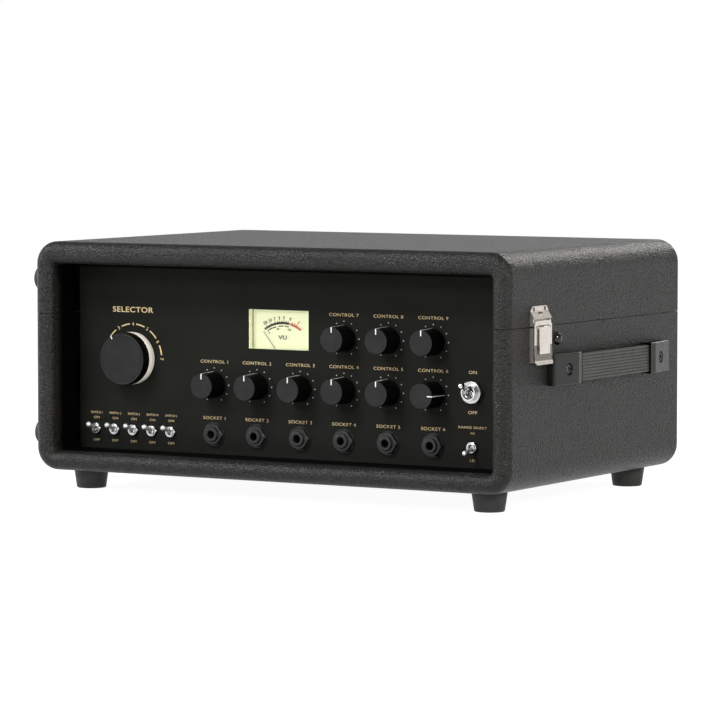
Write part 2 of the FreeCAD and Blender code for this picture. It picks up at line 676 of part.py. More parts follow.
# ---------------------------------------------------------------- jacks
def jack_socket(x):
    front = PANEL_FRONT - JACK_PROUD
    body = box(x - JACK_BODY_W / 2, x + JACK_BODY_W / 2, WALL_BACK, WALL_BACK + JACK_BODY_D,
               JACK_Z - JACK_BODY_W / 2, JACK_Z + JACK_BODY_W / 2)
    collar = rod_y(x, front, JACK_Z, JACK_COLLAR_R, WALL_BACK - front)
    collar = rounded(collar, 0.5, lambda p: near(p.y, front))
    bore = rod_y(x, front - EPS, JACK_Z, JACK_BORE_R, JACK_BORE_L + EPS)
    return body.fuse(collar).cut(bore).removeSplitter()


def jack_nut(x):
    disc = washer(x, JACK_Z, PANEL_FRONT, JACK_WASHER_R, JACK_WASHER_T, JACK_COLLAR_R)
    nut = hex_nut(x, JACK_Z, PANEL_FRONT - JACK_WASHER_T, JACK_NUT_AF, JACK_NUT_T, JACK_COLLAR_R)
    return [disc, nut]


# ---------------------------------------------------------------- meter
def meter_case():
    x0 = METER_X - METER_BODY_W / 2
    x1 = METER_X + METER_BODY_W / 2
    z0 = METER_Z - METER_BODY_BELOW
    z1 = METER_Z + METER_BODY_ABOVE
    back = PANEL_BACK + METER_BODY_D
    dial_y = PANEL_FRONT + METER_DIAL_DEPTH
    dial_back = dial_y + METER_DIAL_T
    body = box(x0, x1, PANEL_BACK, back, z0, z1)
    window = box(METER_X - METER_W / 2, METER_X + METER_W / 2, PANEL_BACK - EPS, dial_back,
                 METER_Z - METER_H / 2, METER_Z + METER_H / 2)
    seat = box(METER_X - METER_W / 2, METER_X + METER_W / 2, dial_y, dial_back,
               METER_Z - METER_DIAL_BELOW, METER_Z + METER_H / 2)
    slot = box(METER_X - NEEDLE_SLOT_W / 2, METER_X + NEEDLE_SLOT_W / 2, PANEL_BACK - EPS, dial_y,
               METER_Z - METER_DIAL_BELOW + 1, METER_Z - METER_H / 2 + EPS)
    works = box(x0 + 2 * METER_WALL, x1 - 2 * METER_WALL, dial_back - EPS, back - METER_WALL,
                z0 + METER_WALL + 2, z1 - METER_WALL - 3)
    return body.cut(window).cut(seat).cut(slot).cut(works)


def meter_dial():
    dial_y = PANEL_FRONT + METER_DIAL_DEPTH
    plate = box(METER_X - METER_W / 2 + METER_LENS_GAP, METER_X + METER_W / 2 - METER_LENS_GAP,
                dial_y, dial_y + METER_DIAL_T,
                METER_Z - METER_DIAL_BELOW + METER_LENS_GAP, METER_Z + METER_H / 2 - METER_LENS_GAP)
    hole = rod_y(METER_X, dial_y - EPS, METER_Z - NEEDLE_DROP,
                 NEEDLE_PIN_R + SHAFT_FIT, METER_DIAL_T + 2 * EPS)
    return plate.cut(hole)


def meter_lens():
    front = PANEL_FRONT + METER_LENS_RECESS
    return box(METER_X - METER_W / 2 + METER_LENS_GAP, METER_X + METER_W / 2 - METER_LENS_GAP,
               front, front + METER_LENS_T,
               METER_Z - METER_H / 2 + METER_LENS_GAP, METER_Z + METER_H / 2 - METER_LENS_GAP)


def meter_needle():
    dial_y = PANEL_FRONT + METER_DIAL_DEPTH
    axis_z = METER_Z - NEEDLE_DROP
    hub_t = 2.2
    hub_y = dial_y - CLEAR - hub_t
    hub = rod_y(METER_X, hub_y, axis_z, NEEDLE_HUB_R, hub_t)
    pin = rod_y(METER_X, hub_y + hub_t - EPS, axis_z, NEEDLE_PIN_R, METER_DIAL_T + 4)
    blade = box(METER_X - NEEDLE_W / 2, METER_X + NEEDLE_W / 2, hub_y + hub_t - 1.4,
                hub_y + hub_t - 1.4 + NEEDLE_T, axis_z, axis_z + NEEDLE_L)
    needle = hub.fuse([pin, blade]).removeSplitter()
    needle.rotate(V(METER_X, 0, axis_z), V(0, 1, 0), -NEEDLE_REST)
    return needle


# ---------------------------------------------------------------- latch (right-hand side)
def side_prism(y0, width, profile):
    """Solid across the Y axis from (outward, z) points on the right side of the case."""
    return prism([V(HALF_W + out, y0, z) for out, z in profile], V(0, width, 0))


def latch_cheek(side, profile):
    """Upright at the latch's front (-1) or rear (1) edge."""
    y = LATCH_Y + side * (LATCH_W - LATCH_CHEEK_T) / 2
    return side_prism(y - LATCH_CHEEK_T / 2, LATCH_CHEEK_T, profile)


def latch_body():
    """Plate on the lid with a sloping hood, two cheeks and the lever's pin."""
    w = LATCH_W / 2
    low = SPLIT_Z + SPLIT_GAP / 2 + LATCH_GAP
    top = LATCH_TOP_Z
    x0 = HALF_W
    outline = [V(x0, LATCH_Y - w, low), V(x0, LATCH_Y + w, low),
               V(x0, LATCH_Y + w, top - LATCH_CORNER), V(x0, LATCH_Y + w - LATCH_CORNER, top),
               V(x0, LATCH_Y - w + LATCH_CORNER, top), V(x0, LATCH_Y - w, top - LATCH_CORNER)]
    plate = prism(outline, V(LATCH_SHEET, 0, 0))
    face = LEVER_X + LEVER_SHEET
    hood_z = LATCH_PIN_Z + LATCH_HOOD_RISE
    root_z = LATCH_SCREW_Z - LATCH_HOOD_DROP
    hood = side_prism(LATCH_Y - w, LATCH_W,
                      [(0, root_z), (LATCH_SHEET, root_z), (face, hood_z),
                       (face - LATCH_SHEET, hood_z), (0, root_z - LATCH_SHEET)])
    cheek = [(0, low), (LATCH_CHEEK_OUT, low), (LATCH_CHEEK_OUT, hood_z), (face, hood_z),
             (LATCH_SHEET, root_z), (0, root_z)]
    body = plate.fuse([hood, latch_cheek(-1, cheek), latch_cheek(1, cheek)])
    slot_z = LATCH_SCREW_Z - LATCH_SLOT_DROP
    body = body.cut(box(x0 - EPS, x0 + face, LATCH_Y - LATCH_SLOT_W / 2, LATCH_Y + LATCH_SLOT_W / 2,
                        slot_z - LATCH_SLOT_H / 2, slot_z + LATCH_SLOT_H / 2))
    for side in (-1, 1):
        y = LATCH_Y + side * LATCH_SCREW_SPAN / 2
        body = body.cut(rod_x(x0 - EPS, y, LATCH_SCREW_Z, LATCH_SCREW_R, LATCH_SHEET + 2 * EPS))
    pin = rod_y(x0 + LATCH_PIN_X, LATCH_Y - w, LATCH_PIN_Z, LATCH_PIN_R, LATCH_W)
    return body.fuse(pin).removeSplitter()


def lever_face_x():
    return HALF_W + LEVER_X + LEVER_SHEET


def claw_axis_x():
    return lever_face_x() + CLAW_PIN_OUT


def lever_plate():
    """Lever's sheet: flat above, leaning out below its bend, with a pull lip at the bottom."""
    w = LATCH_W / 2
    lip_z = LEVER_BOTTOM_Z + LEVER_LIP_H
    top = LATCH_PIN_Z + LEVER_TOP
    inner = [(LEVER_X, top), (LEVER_X, LEVER_BEND_Z), (LEVER_X + LEVER_BEND_OUT, lip_z),
             (LEVER_X + LEVER_BEND_OUT + LEVER_LIP_OUT, LEVER_BOTTOM_Z)]
    outer = [(out + LEVER_SHEET, z) for out, z in reversed(inner)]
    plate = side_prism(LATCH_Y - w, LATCH_W, inner + outer)
    for side in (-1, 1):
        y = LATCH_Y + side * w
        corner = [V(HALF_W, y + side, LEVER_BOTTOM_Z - 1), V(HALF_W, y + side, lip_z - LATCH_GAP),
                  V(HALF_W, y - side * LEVER_LIP_CHAMFER, LEVER_BOTTOM_Z - 1)]
        plate = plate.cut(prism(corner, V(LEVER_X + LATCH_W, 0, 0)))
        neck_y = y - side * (LATCH_CHEEK_T + LATCH_GAP)
        shoulder = box(HALF_W, lever_face_x() + EPS, min(neck_y, y + side), max(neck_y, y + side),
                       LATCH_PIN_Z - LEVER_NECK_DROP, top + EPS)
        plate = plate.cut(shoulder)
    return plate


def latch_lever():
    """Lever that hangs on the body's pin between the cheeks and carries the claw."""
    x1 = lever_face_x()
    pin_x = HALF_W + LATCH_PIN_X
    top = LATCH_PIN_Z + LEVER_TOP
    half_window = CLAW_W / 2 + LATCH_GAP
    window = box(HALF_W, x1 + LEVER_BEND_OUT, LATCH_Y - half_window, LATCH_Y + half_window,
                 CLAW_BOTTOM_Z - LATCH_GAP, CLAW_PIN_Z + CLAW_EYE_R + LATCH_GAP)
    lever = lever_plate().cut(window).fuse(claw_lugs())
    for side in (-1, 1):
        y = LATCH_Y + side * (LATCH_W / 2 - LATCH_CHEEK_T - LATCH_GAP)
        y0 = min(y, y - side * LEVER_SHEET)
        eye = rod_y(pin_x, y0, LATCH_PIN_Z, LATCH_EYE_R, LEVER_SHEET)
        eye = eye.common(box(pin_x - LATCH_EYE_R, x1, y0, y0 + LEVER_SHEET,
                             LATCH_PIN_Z - LATCH_EYE_R, top))
        link = box(pin_x, x1, y0, y0 + LEVER_SHEET, LATCH_PIN_Z - LATCH_EYE_R, top)
        lever = lever.fuse([eye, link])
    bore = rod_y(pin_x, LATCH_Y - LATCH_W / 2, LATCH_PIN_Z, LATCH_PIN_R + SHAFT_FIT, LATCH_W)
    return lever.cut(bore).removeSplitter()


def claw_lugs():
    """Two lugs on the lever's face with the claw's pin between them."""
    x0 = lever_face_x() - EPS
    x1 = claw_axis_x() + CLAW_EYE_R - 0.1
    half = CLAW_W / 2 + LATCH_GAP
    lugs = rod_y(claw_axis_x(), LATCH_Y - half - LEVER_SHEET, CLAW_PIN_Z, CLAW_PIN_R,
                 2 * (half + LEVER_SHEET))
    for side in (-1, 1):
        y = LATCH_Y + side * (half + LEVER_SHEET / 2) - LEVER_SHEET / 2
        lugs = lugs.fuse(box(x0, x1, y, y + LEVER_SHEET,
                             CLAW_PIN_Z - CLAW_EYE_R, CLAW_PIN_Z + CLAW_EYE_R))
    return lugs


def latch_claw():
    """Claw that swings on the lever and reaches through its window under the catch."""
    x_axis = claw_axis_x()
    y0 = LATCH_Y - CLAW_W / 2
    x1 = x_axis + CLAW_EYE_R
    plate = box(x1 - CLAW_SHEET, x1, y0, y0 + CLAW_W, CLAW_BOTTOM_Z, CLAW_PIN_Z)
    eye = rod_y(x_axis, y0, CLAW_PIN_Z, CLAW_EYE_R, CLAW_W)
    hook = box(HALF_W + CATCH_BAR_X + LATCH_GAP, x1, y0, y0 + CLAW_W,
               CLAW_BOTTOM_Z, CLAW_BOTTOM_Z + CLAW_SHEET)
    bore = rod_y(x_axis, y0 - EPS, CLAW_PIN_Z, CLAW_PIN_R + SHAFT_FIT, CLAW_W + 2 * EPS)
    return plate.fuse([eye, hook]).cut(bore).removeSplitter()


def latch_catch():
    """Plate on the base with two cheeks and the bar that the claw draws against."""
    w = LATCH_W / 2
    bar_z = CLAW_BOTTOM_Z + CLAW_SHEET + LATCH_GAP
    top = SPLIT_Z - SPLIT_GAP / 2 - LATCH_GAP
    plate = box(HALF_W, HALF_W + LATCH_SHEET, LATCH_Y - w, LATCH_Y + w, CATCH_BOTTOM_Z, top)
    bar = box(HALF_W, HALF_W + CATCH_BAR_X, LATCH_Y - CLAW_W / 2, LATCH_Y + CLAW_W / 2,
              bar_z, bar_z + CATCH_BAR_H)
    cheek = [(0, CATCH_BOTTOM_Z), (LATCH_CHEEK_OUT, CATCH_BOTTOM_Z), (LATCH_CHEEK_OUT, top), (0, top)]
    return plate.fuse([bar, latch_cheek(-1, cheek), latch_cheek(1, cheek)]).removeSplitter()


# ---------------------------------------------------------------- handle
def strap_z0():
    return CAP_Z0 + (CAP_H - STRAP_H) / 2


def handle_cap(side):
    """End cap of the strap handle; side -1 is the front cap, 1 the rear cap."""
    outer_y = HANDLE_Y + side * HANDLE_HALF_L
    mouth_y = outer_y - side * CAP_L
    crest_y = mouth_y + side * CAP_CREST_INSET
    mouth_proud = CAP_PROUD - CAP_MOUTH_DROP
    profile = [(outer_y, 0), (outer_y, CAP_END_PROUD), (crest_y, CAP_PROUD),
               (mouth_y, mouth_proud), (mouth_y, 0)]
    points = [V(HALF_W + out, y, CAP_Z0) for y, out in profile]
    cap = prism(points, V(0, 0, CAP_H))
    for y, out, r in ((outer_y, CAP_END_PROUD, CAP_END_R), (mouth_y, mouth_proud, CAP_MOUTH_R)):
        cap = cap.makeFillet(r, edges_at(cap, lambda p: near(p.y, y) and near(p.x, HALF_W + out)))
    seat_y = mouth_y + side * (STRAP_IN_CAP + CLEAR)
    slot = box(HALF_W + STRAP_PROUD - STRAP_T - CLEAR, HALF_W + STRAP_PROUD + CLEAR,
               min(seat_y, mouth_y - side), max(seat_y, mouth_y - side),
               strap_z0() - CLEAR, strap_z0() + STRAP_H + CLEAR)
    screw_y = outer_y - side * CAP_SCREW_AT
    screw_x = cap_face_x(CAP_SCREW_AT) - CAP_SCREW_DEPTH
    recess = rod_x(screw_x, screw_y, CAP_Z0 + CAP_H / 2, CAP_SCREW_R + CLEAR, CAP_PROUD)
    return cap.cut(slot).cut(recess)


def cap_face_x(along):
    rise = (CAP_PROUD - CAP_END_PROUD) / (CAP_L - CAP_CREST_INSET)
    return HALF_W + CAP_END_PROUD + rise * along


def cap_screw(side):
    y = HANDLE_Y + side * (HANDLE_HALF_L - CAP_SCREW_AT)
    z = CAP_Z0 + CAP_H / 2
    x = cap_face_x(CAP_SCREW_AT) - CAP_SCREW_DEPTH
    head_t = CAP_SCREW_DEPTH * 0.7
    head = rod_x(x, y, z, CAP_SCREW_R, head_t)
    head = rounded(head, head_t * 0.6, lambda p: near(p.x, x + head_t))
    slot_w = CAP_SCREW_R * 0.22
    for dy, dz in ((CAP_SCREW_R * 0.6, slot_w), (slot_w, CAP_SCREW_R * 0.6)):
        head = head.cut(box(x + head_t * 0.5, x + head_t + 1, y - dy, y + dy, z - dz, z + dz))
    return head


def side_bolt():
    """Domed bolt head above the front cap of the handle."""
    dome_r = (BOLT_R ** 2 + BOLT_H ** 2) / (2 * BOLT_H)
    ball = Part.makeSphere(dome_r, V(HALF_W + BOLT_H - dome_r, BOLT_Y, BOLT_Z))
    dome = ball.common(box(HALF_W, HALF_W + BOLT_H + 1, BOLT_Y - BOLT_R - 1, BOLT_Y + BOLT_R + 1,
                           BOLT_Z - BOLT_R - 1, BOLT_Z + BOLT_R + 1))
    return dome


def handle_strap():
    half = HANDLE_HALF_L - CAP_L + STRAP_IN_CAP
    x1 = HALF_W + STRAP_PROUD
    x0 = x1 - STRAP_T
    z0 = strap_z0()
    strap = box(x0, x1, HANDLE_Y - half, HANDLE_Y + half, z0, z0 + STRAP_H)
    strap = rounded(strap, STRAP_EDGE_R, lambda p: near(p.x, x1) and
                    (near(p.z, z0) or near(p.z, z0 + STRAP_H)))
    pitch = STRAP_H / (STRAP_GROOVES + 1)
    for i in range(STRAP_GROOVES):
        z = z0 + pitch * (i + 1)
        strap = strap.cut(box(x1 - STRAP_GROOVE_DEPTH, x1 + 1, HANDLE_Y - half - 1,
                              HANDLE_Y + half + 1, z - STRAP_GROOVE_W / 2, z + STRAP_GROOVE_W / 2))
    return strap


# ---------------------------------------------------------------- hinges
def hinge_leaf(x, up):
    """One leaf with its knuckles; up is 1 for the lid's leaf and -1 for the base's."""
    clear = HINGE_BARREL_R + CLEAR
    z_in = SPLIT_Z + up * clear
    z_out = SPLIT_Z + up * HINGE_LEAF_H
    leaf = box(x - HINGE_W / 2, x + HINGE_W / 2, CASE_D, CASE_D + HINGE_LEAF_T,
               min(z_in, z_out), max(z_in, z_out))
    if up > 0:
        spans = [(x - HINGE_KNUCKLE_W / 2 + CLEAR, x + HINGE_KNUCKLE_W / 2 - CLEAR)]
        bore_r = HINGE_PIN_R + SHAFT_FIT
    else:
        spans = [(x - HINGE_W / 2, x - HINGE_KNUCKLE_W / 2), (x + HINGE_KNUCKLE_W / 2, x + HINGE_W / 2)]
        bore_r = HINGE_PIN_R
    for x0, x1 in spans:
        barrel = rod_x(x0, HINGE_Y, SPLIT_Z, HINGE_BARREL_R, x1 - x0)
        z_far = SPLIT_Z + up * (clear + 1)
        tab = box(x0, x1, CASE_D + 0.2, CASE_D + HINGE_LEAF_T, min(SPLIT_Z, z_far), max(SPLIT_Z, z_far))
        knuckle = barrel.fuse(tab).cut(rod_x(x0 - EPS, HINGE_Y, SPLIT_Z, bore_r, x1 - x0 + 2 * EPS))
        leaf = leaf.fuse(knuckle)
    return leaf.removeSplitter()


def hinge_pin(x):
    return rod_x(x - HINGE_W / 2, HINGE_Y, SPLIT_Z, HINGE_PIN_R, HINGE_W)


def hinge_xs():
    return [-HINGE_SPAN / 2, HINGE_SPAN / 2]


# ---------------------------------------------------------------- tape transport
def tape_path():
    """Corner points and corner radii of the closed tape loop, seen from above."""
    step = 2 * TAPE_X / TAPE_FOLDS
    points = [(-TAPE_X, TAPE_Y, TAPE_CORNER_R), (TAPE_X, TAPE_Y, TAPE_CORNER_R)]
    for k in range(TAPE_FOLDS):
        y = TAPE_FAR_Y if k % 2 == 0 else TAPE_NEAR_Y
        for x in (TAPE_X - k * step, TAPE_X - (k + 1) * step):
            points.append((x, y, 0.45 * step))
    return points


def loop_wire(points, z):
    """Closed wire through the points with each corner rounded by a tangent arc."""
    count = len(points)
    starts = []
    ends = []
    arcs = []
    for i in range(count):
        here = V(points[i][0], points[i][1], z)
        before = V(points[i - 1][0], points[i - 1][1], z)
        after = V(points[(i + 1) % count][0], points[(i + 1) % count][1], z)
        to_before = (before - here).normalize()
        to_after = (after - here).normalize()
        half = to_before.getAngle(to_after) / 2
        cut = points[i][2] / math.tan(half)
        middle = (to_before + to_after).normalize()
        centre = here + middle * (points[i][2] / math.sin(half))
        starts.append(here + to_before * cut)
        ends.append(here + to_after * cut)
        arcs.append(Part.Arc(starts[-1], centre - middle * points[i][2], ends[-1]).toShape())
    edges = []
    for i in range(count):
        edges.append(arcs[i])
        edges.append(Part.makeLine(ends[i], starts[(i + 1) % count]))
    return Part.Wire(edges)


def tape_loop():
    wire = loop_wire(tape_path(), TAPE_Z0)
    one = Part.Face(wire.makeOffset2D(TAPE_T / 2))
    two = Part.Face(wire.makeOffset2D(-TAPE_T / 2))
    ribbon = one.cut(two) if one.Area > two.Area else two.cut(one)
    return ribbon.Faces[0].extrude(V(0, 0, TAPE_W))


def tray_half_l():
    return TAPE_X + TRAY_MARGIN


def tape_tray():
    half = tray_half_l()
    tray = box(-half, half, TRAY_FRONT_Y, TRAY_BACK_Y, DECK_TOP, DECK_TOP + TRAY_H)
    tray = tray.makeFillet(TRAY_CORNER_R, edges_along(tray, V(0, 0, 1), lambda p: near(abs(p.x), half)))
    tray = tray.cut(box(-half + TRAY_WALL, half - TRAY_WALL, TRAY_FRONT_Y + TRAY_WALL,
                        TRAY_BACK_Y - TRAY_WALL, DECK_TOP + TRAY_FLOOR, DECK_TOP + TRAY_H + EPS))
    for x in (-TAPE_X, TAPE_X):
        tray = tray.cut(box(x - TRAY_SLOT_W / 2, x + TRAY_SLOT_W / 2, TRAY_FRONT_Y - EPS,
                            TRAY_FRONT_Y + TRAY_WALL + EPS,
                            DECK_TOP + TRAY_FLOOR, DECK_TOP + TRAY_H + EPS))
    return tray


def tape_cover():
    half = tray_half_l()
    z = DECK_TOP + TRAY_H
    plate = box(-half, half, TRAY_FRONT_Y, TRAY_BACK_Y, z, z + COVER_T)
    for x in (-half / 2, half / 2):
        plate = plate.fuse(rod_z(x, (TRAY_FRONT_Y + TRAY_BACK_Y) / 2, z + COVER_T,
                                 COVER_KNOB_R, COVER_KNOB_H))
    return plate


def head_face_y():
    return TAPE_Y + TAPE_T / 2 + CLEAR


def tape_heads():
    heads = []
    for i in range(HEAD_COUNT):
        x = HEAD_X0 + HEAD_PITCH * i
        y = head_face_y()
        z = DECK_TOP + BRIDGE_T
        head = box(x - HEAD_W / 2, x + HEAD_W / 2, y, y + HEAD_D, z, z + HEAD_H)
        nose = edges_along(head, V(0, 0, 1), lambda p: near(p.y, y))
        heads.append(head.makeFillet(HEAD_NOSE_R, nose))
    return heads


def head_bridge():
    x0 = HEAD_X0 - BRIDGE_MARGIN
    x1 = HEAD_X0 + HEAD_PITCH * (HEAD_COUNT - 1) + BRIDGE_MARGIN
    y0 = head_face_y() + 1
    plate = box(x0, x1, y0, y0 + BRIDGE_D, DECK_TOP, DECK_TOP + BRIDGE_T)
    pieces = [plate]
    inner = TAPE_CORNER_R - TAPE_T / 2 - CLEAR
    for side in (-1, 1):
        x = side * (TAPE_X - TAPE_CORNER_R)
        y = TAPE_Y + TAPE_CORNER_R
        post = rod_z(x, y, DECK_TOP, min(GUIDE_R, inner), TAPE_Z0 + TAPE_W + CLEAR - DECK_TOP)
        pieces.append(post.fuse(rod_z(x, y, TAPE_Z0 + TAPE_W + CLEAR, GUIDE_TOP_R, 2)))
    return pieces


def capstan_motor():
    top = DECK_BOTTOM
    body = rod_z(CAPSTAN_X, CAPSTAN_Y, top - MOTOR_H, MOTOR_R, MOTOR_H)
    nose = rod_z(CAPSTAN_X, CAPSTAN_Y, top - EPS, MOTOR_NOSE_R, DECK_T + MOTOR_NOSE_H + EPS)
    bore = rod_z(CAPSTAN_X, CAPSTAN_Y, top - MOTOR_H - EPS, CAPSTAN_R + SHAFT_FIT,
                 MOTOR_H + DECK_T + MOTOR_NOSE_H + 3 * EPS)
    return body.fuse(nose).cut(bore).removeSplitter()


def capstan_flywheel():
    top = DECK_BOTTOM - MOTOR_H - FLYWHEEL_GAP
    wheel = rod_z(CAPSTAN_X, CAPSTAN_Y, top - FLYWHEEL_H, FLYWHEEL_R, FLYWHEEL_H)
    shaft = rod_z(CAPSTAN_X, CAPSTAN_Y, top - FLYWHEEL_H, CAPSTAN_R,
                  DECK_TOP + CAPSTAN_TOP - top + FLYWHEEL_H)
    return wheel.fuse(shaft).removeSplitter()


def pinch_roller():
    z0 = DECK_TOP + 1
    z1 = TAPE_Z0 + TAPE_W + CLEAR
    roller = rod_z(CAPSTAN_X, PINCH_Y, z0, PINCH_R, z1 - z0)
    return roller.cut(rod_z(CAPSTAN_X, PINCH_Y, z0 - EPS, PINCH_PIN_R + SHAFT_FIT, z1 - z0 + 2 * EPS))


def pinch_arm():
    z0 = TAPE_Z0 + TAPE_W + 2 * CLEAR
    y = PINCH_Y
    bar = box(CAPSTAN_X, PINCH_PIVOT_X, y - PINCH_ARM_W / 2, y + PINCH_ARM_W / 2, z0, z0 + PINCH_ARM_T)
    end = rod_z(CAPSTAN_X, y, z0, PINCH_ARM_W / 2, PINCH_ARM_T)
    boss_z0 = DECK_TOP + CLEAR
    boss = rod_z(PINCH_PIVOT_X, y, boss_z0, PINCH_BOSS_R, z0 + PINCH_ARM_T - boss_z0)
    pin = rod_z(CAPSTAN_X, y, DECK_TOP + CLEAR, PINCH_PIN_R, z0 - DECK_TOP)
    foot_disc = rod_z(CAPSTAN_X, y, DECK_TOP + CLEAR, PINCH_PIN_R + 1.5, 0.5)
    bore = rod_z(PINCH_PIVOT_X, y, boss_z0 - EPS, PINCH_POST_R + SHAFT_FIT,
                 z0 + PINCH_ARM_T - boss_z0 + 2 * EPS)
    return bar.fuse([end, boss, pin, foot_disc]).cut(bore).removeSplitter()


# ---------------------------------------------------------------- electronics
def reverb_tank():
    """Sheet pan open below, with three springs between two end blocks."""
    x0 = TANK_X0
    x1 = x0 + TANK_L
    y1 = REAR_PLATE_Y0 - TANK_BACK_GAP
    y0 = BOARD_Y0 + BOARD_D + TANK_BOARD_GAP
    z0 = CHASSIS_FLOOR
    pan = box(x0, x1, y0, y1, z0, z0 + TANK_H)
    t = TANK_SHEET
    pan = pan.cut(box(x0 + t, x1 - t, y0 + t, y1 - t, z0 - EPS, z0 + TANK_H - t))
    pieces = [pan]
    block_z0 = z0 + TANK_BLOCK_Z0
    spring_z = block_z0 + TANK_BLOCK_H / 2
    for bx in (x0 + t, x1 - t - TANK_BLOCK_L):
        pieces.append(box(bx, bx + TANK_BLOCK_L, y0 + t, y1 - t, block_z0, block_z0 + TANK_BLOCK_H))
    for i in (-1, 0, 1):
        y = (y0 + y1) / 2 + i * SPRING_PITCH
        length = TANK_L - 2 * t - 2 * TANK_BLOCK_L
        tube = rod_x(x0 + t + TANK_BLOCK_L, y, spring_z, SPRING_R, length)
        pieces.append(tube.cut(rod_x(x0, y, spring_z, SPRING_INNER_R, TANK_L)))
    return pieces


def transformer():
    z0 = CHASSIS_FLOOR
    mid_z = z0 + CORE_H / 2
    core = box(CORE_X - CORE_L / 2, CORE_X + CORE_L / 2, CORE_Y - CORE_D / 2, CORE_Y + CORE_D / 2,
               z0, z0 + CORE_H)
    hole = box(CORE_X - COIL_L / 2, CORE_X + COIL_L / 2, CORE_Y - CORE_D, CORE_Y + CORE_D,
               mid_z - COIL_H / 2, mid_z + COIL_H / 2)
    coil = box(CORE_X - COIL_L / 2, CORE_X + COIL_L / 2, CORE_Y - COIL_D / 2, CORE_Y + COIL_D / 2,
               mid_z - COIL_H / 2, mid_z + COIL_H / 2)
    return [core.cut(hole), coil]


def circuit_board():
    """Board on standoffs with rows of capacitors and chips."""
    z0 = CHASSIS_FLOOR
    bz = z0 + STANDOFF_H
    x1 = BOARD_X0 + BOARD_L
    y1 = BOARD_Y0 + BOARD_D
    pieces = [box(BOARD_X0, x1, BOARD_Y0, y1, bz, bz + BOARD_T)]
    for x in (BOARD_X0 + STANDOFF_INSET, x1 - STANDOFF_INSET):
        for y in (BOARD_Y0 + STANDOFF_INSET, y1 - STANDOFF_INSET):
            pieces.append(rod_z(x, y, z0, STANDOFF_R, STANDOFF_H))
    top = bz + BOARD_T
    chip_y = BOARD_Y0 + BOARD_D * 0.6
    for i in range(BOARD_PARTS):
        x = BOARD_X0 + BOARD_L * (i + 1) / (BOARD_PARTS + 1)
        pieces.append(rod_z(x, BOARD_Y0 + BOARD_D * 0.28, top, CAPACITOR_R, CAPACITOR_H))
        pieces.append(box(x - CHIP_L / 2, x + CHIP_L / 2, chip_y, chip_y + CHIP_W, top, top + CHIP_H))
    return pieces


def mains_inlet():
    """Three-pin inlet with its flange and a fuse drawer beside the socket."""
    face = REAR_PLATE_Y1
    flange_w = INLET_FLANGE_W / 2
    front = face + INLET_FLANGE_T
    body = box(INLET_X - INLET_W / 2, INLET_X + INLET_W / 2, front - INLET_D, front,
               INLET_Z - INLET_H / 2, INLET_Z + INLET_H / 2)
    flange = box(INLET_X - flange_w, INLET_X + flange_w, face, front,
                 INLET_Z - INLET_H / 2 - 2, INLET_Z + INLET_H / 2 + 2)
    body = body.fuse(flange)
    cavity = box(INLET_X - SOCKET_W / 2, INLET_X + SOCKET_W / 2, front - SOCKET_DEPTH, front + EPS,
                 INLET_Z - SOCKET_H / 2, INLET_Z + SOCKET_H / 2)
    body = body.cut(cavity)
    for dx, dz in ((-PIN_SPREAD, -2.0), (0.0, 2.0), (PIN_SPREAD, -2.0)):
        blade = box(INLET_X + dx - PIN_T / 2, INLET_X + dx + PIN_T / 2,
                    front - SOCKET_DEPTH - 1, front - SOCKET_DEPTH + PIN_L,
                    INLET_Z + dz - PIN_W / 2, INLET_Z + dz + PIN_W / 2)
        body = body.fuse(blade)
    for side in (-1, 1):
        hole_x = INLET_X + side * (INLET_W / 2 + 5)
        body = body.cut(rod_y(hole_x, face - EPS, INLET_Z, 1.7, INLET_FLANGE_T + 2 * EPS))
    return body.removeSplitter()


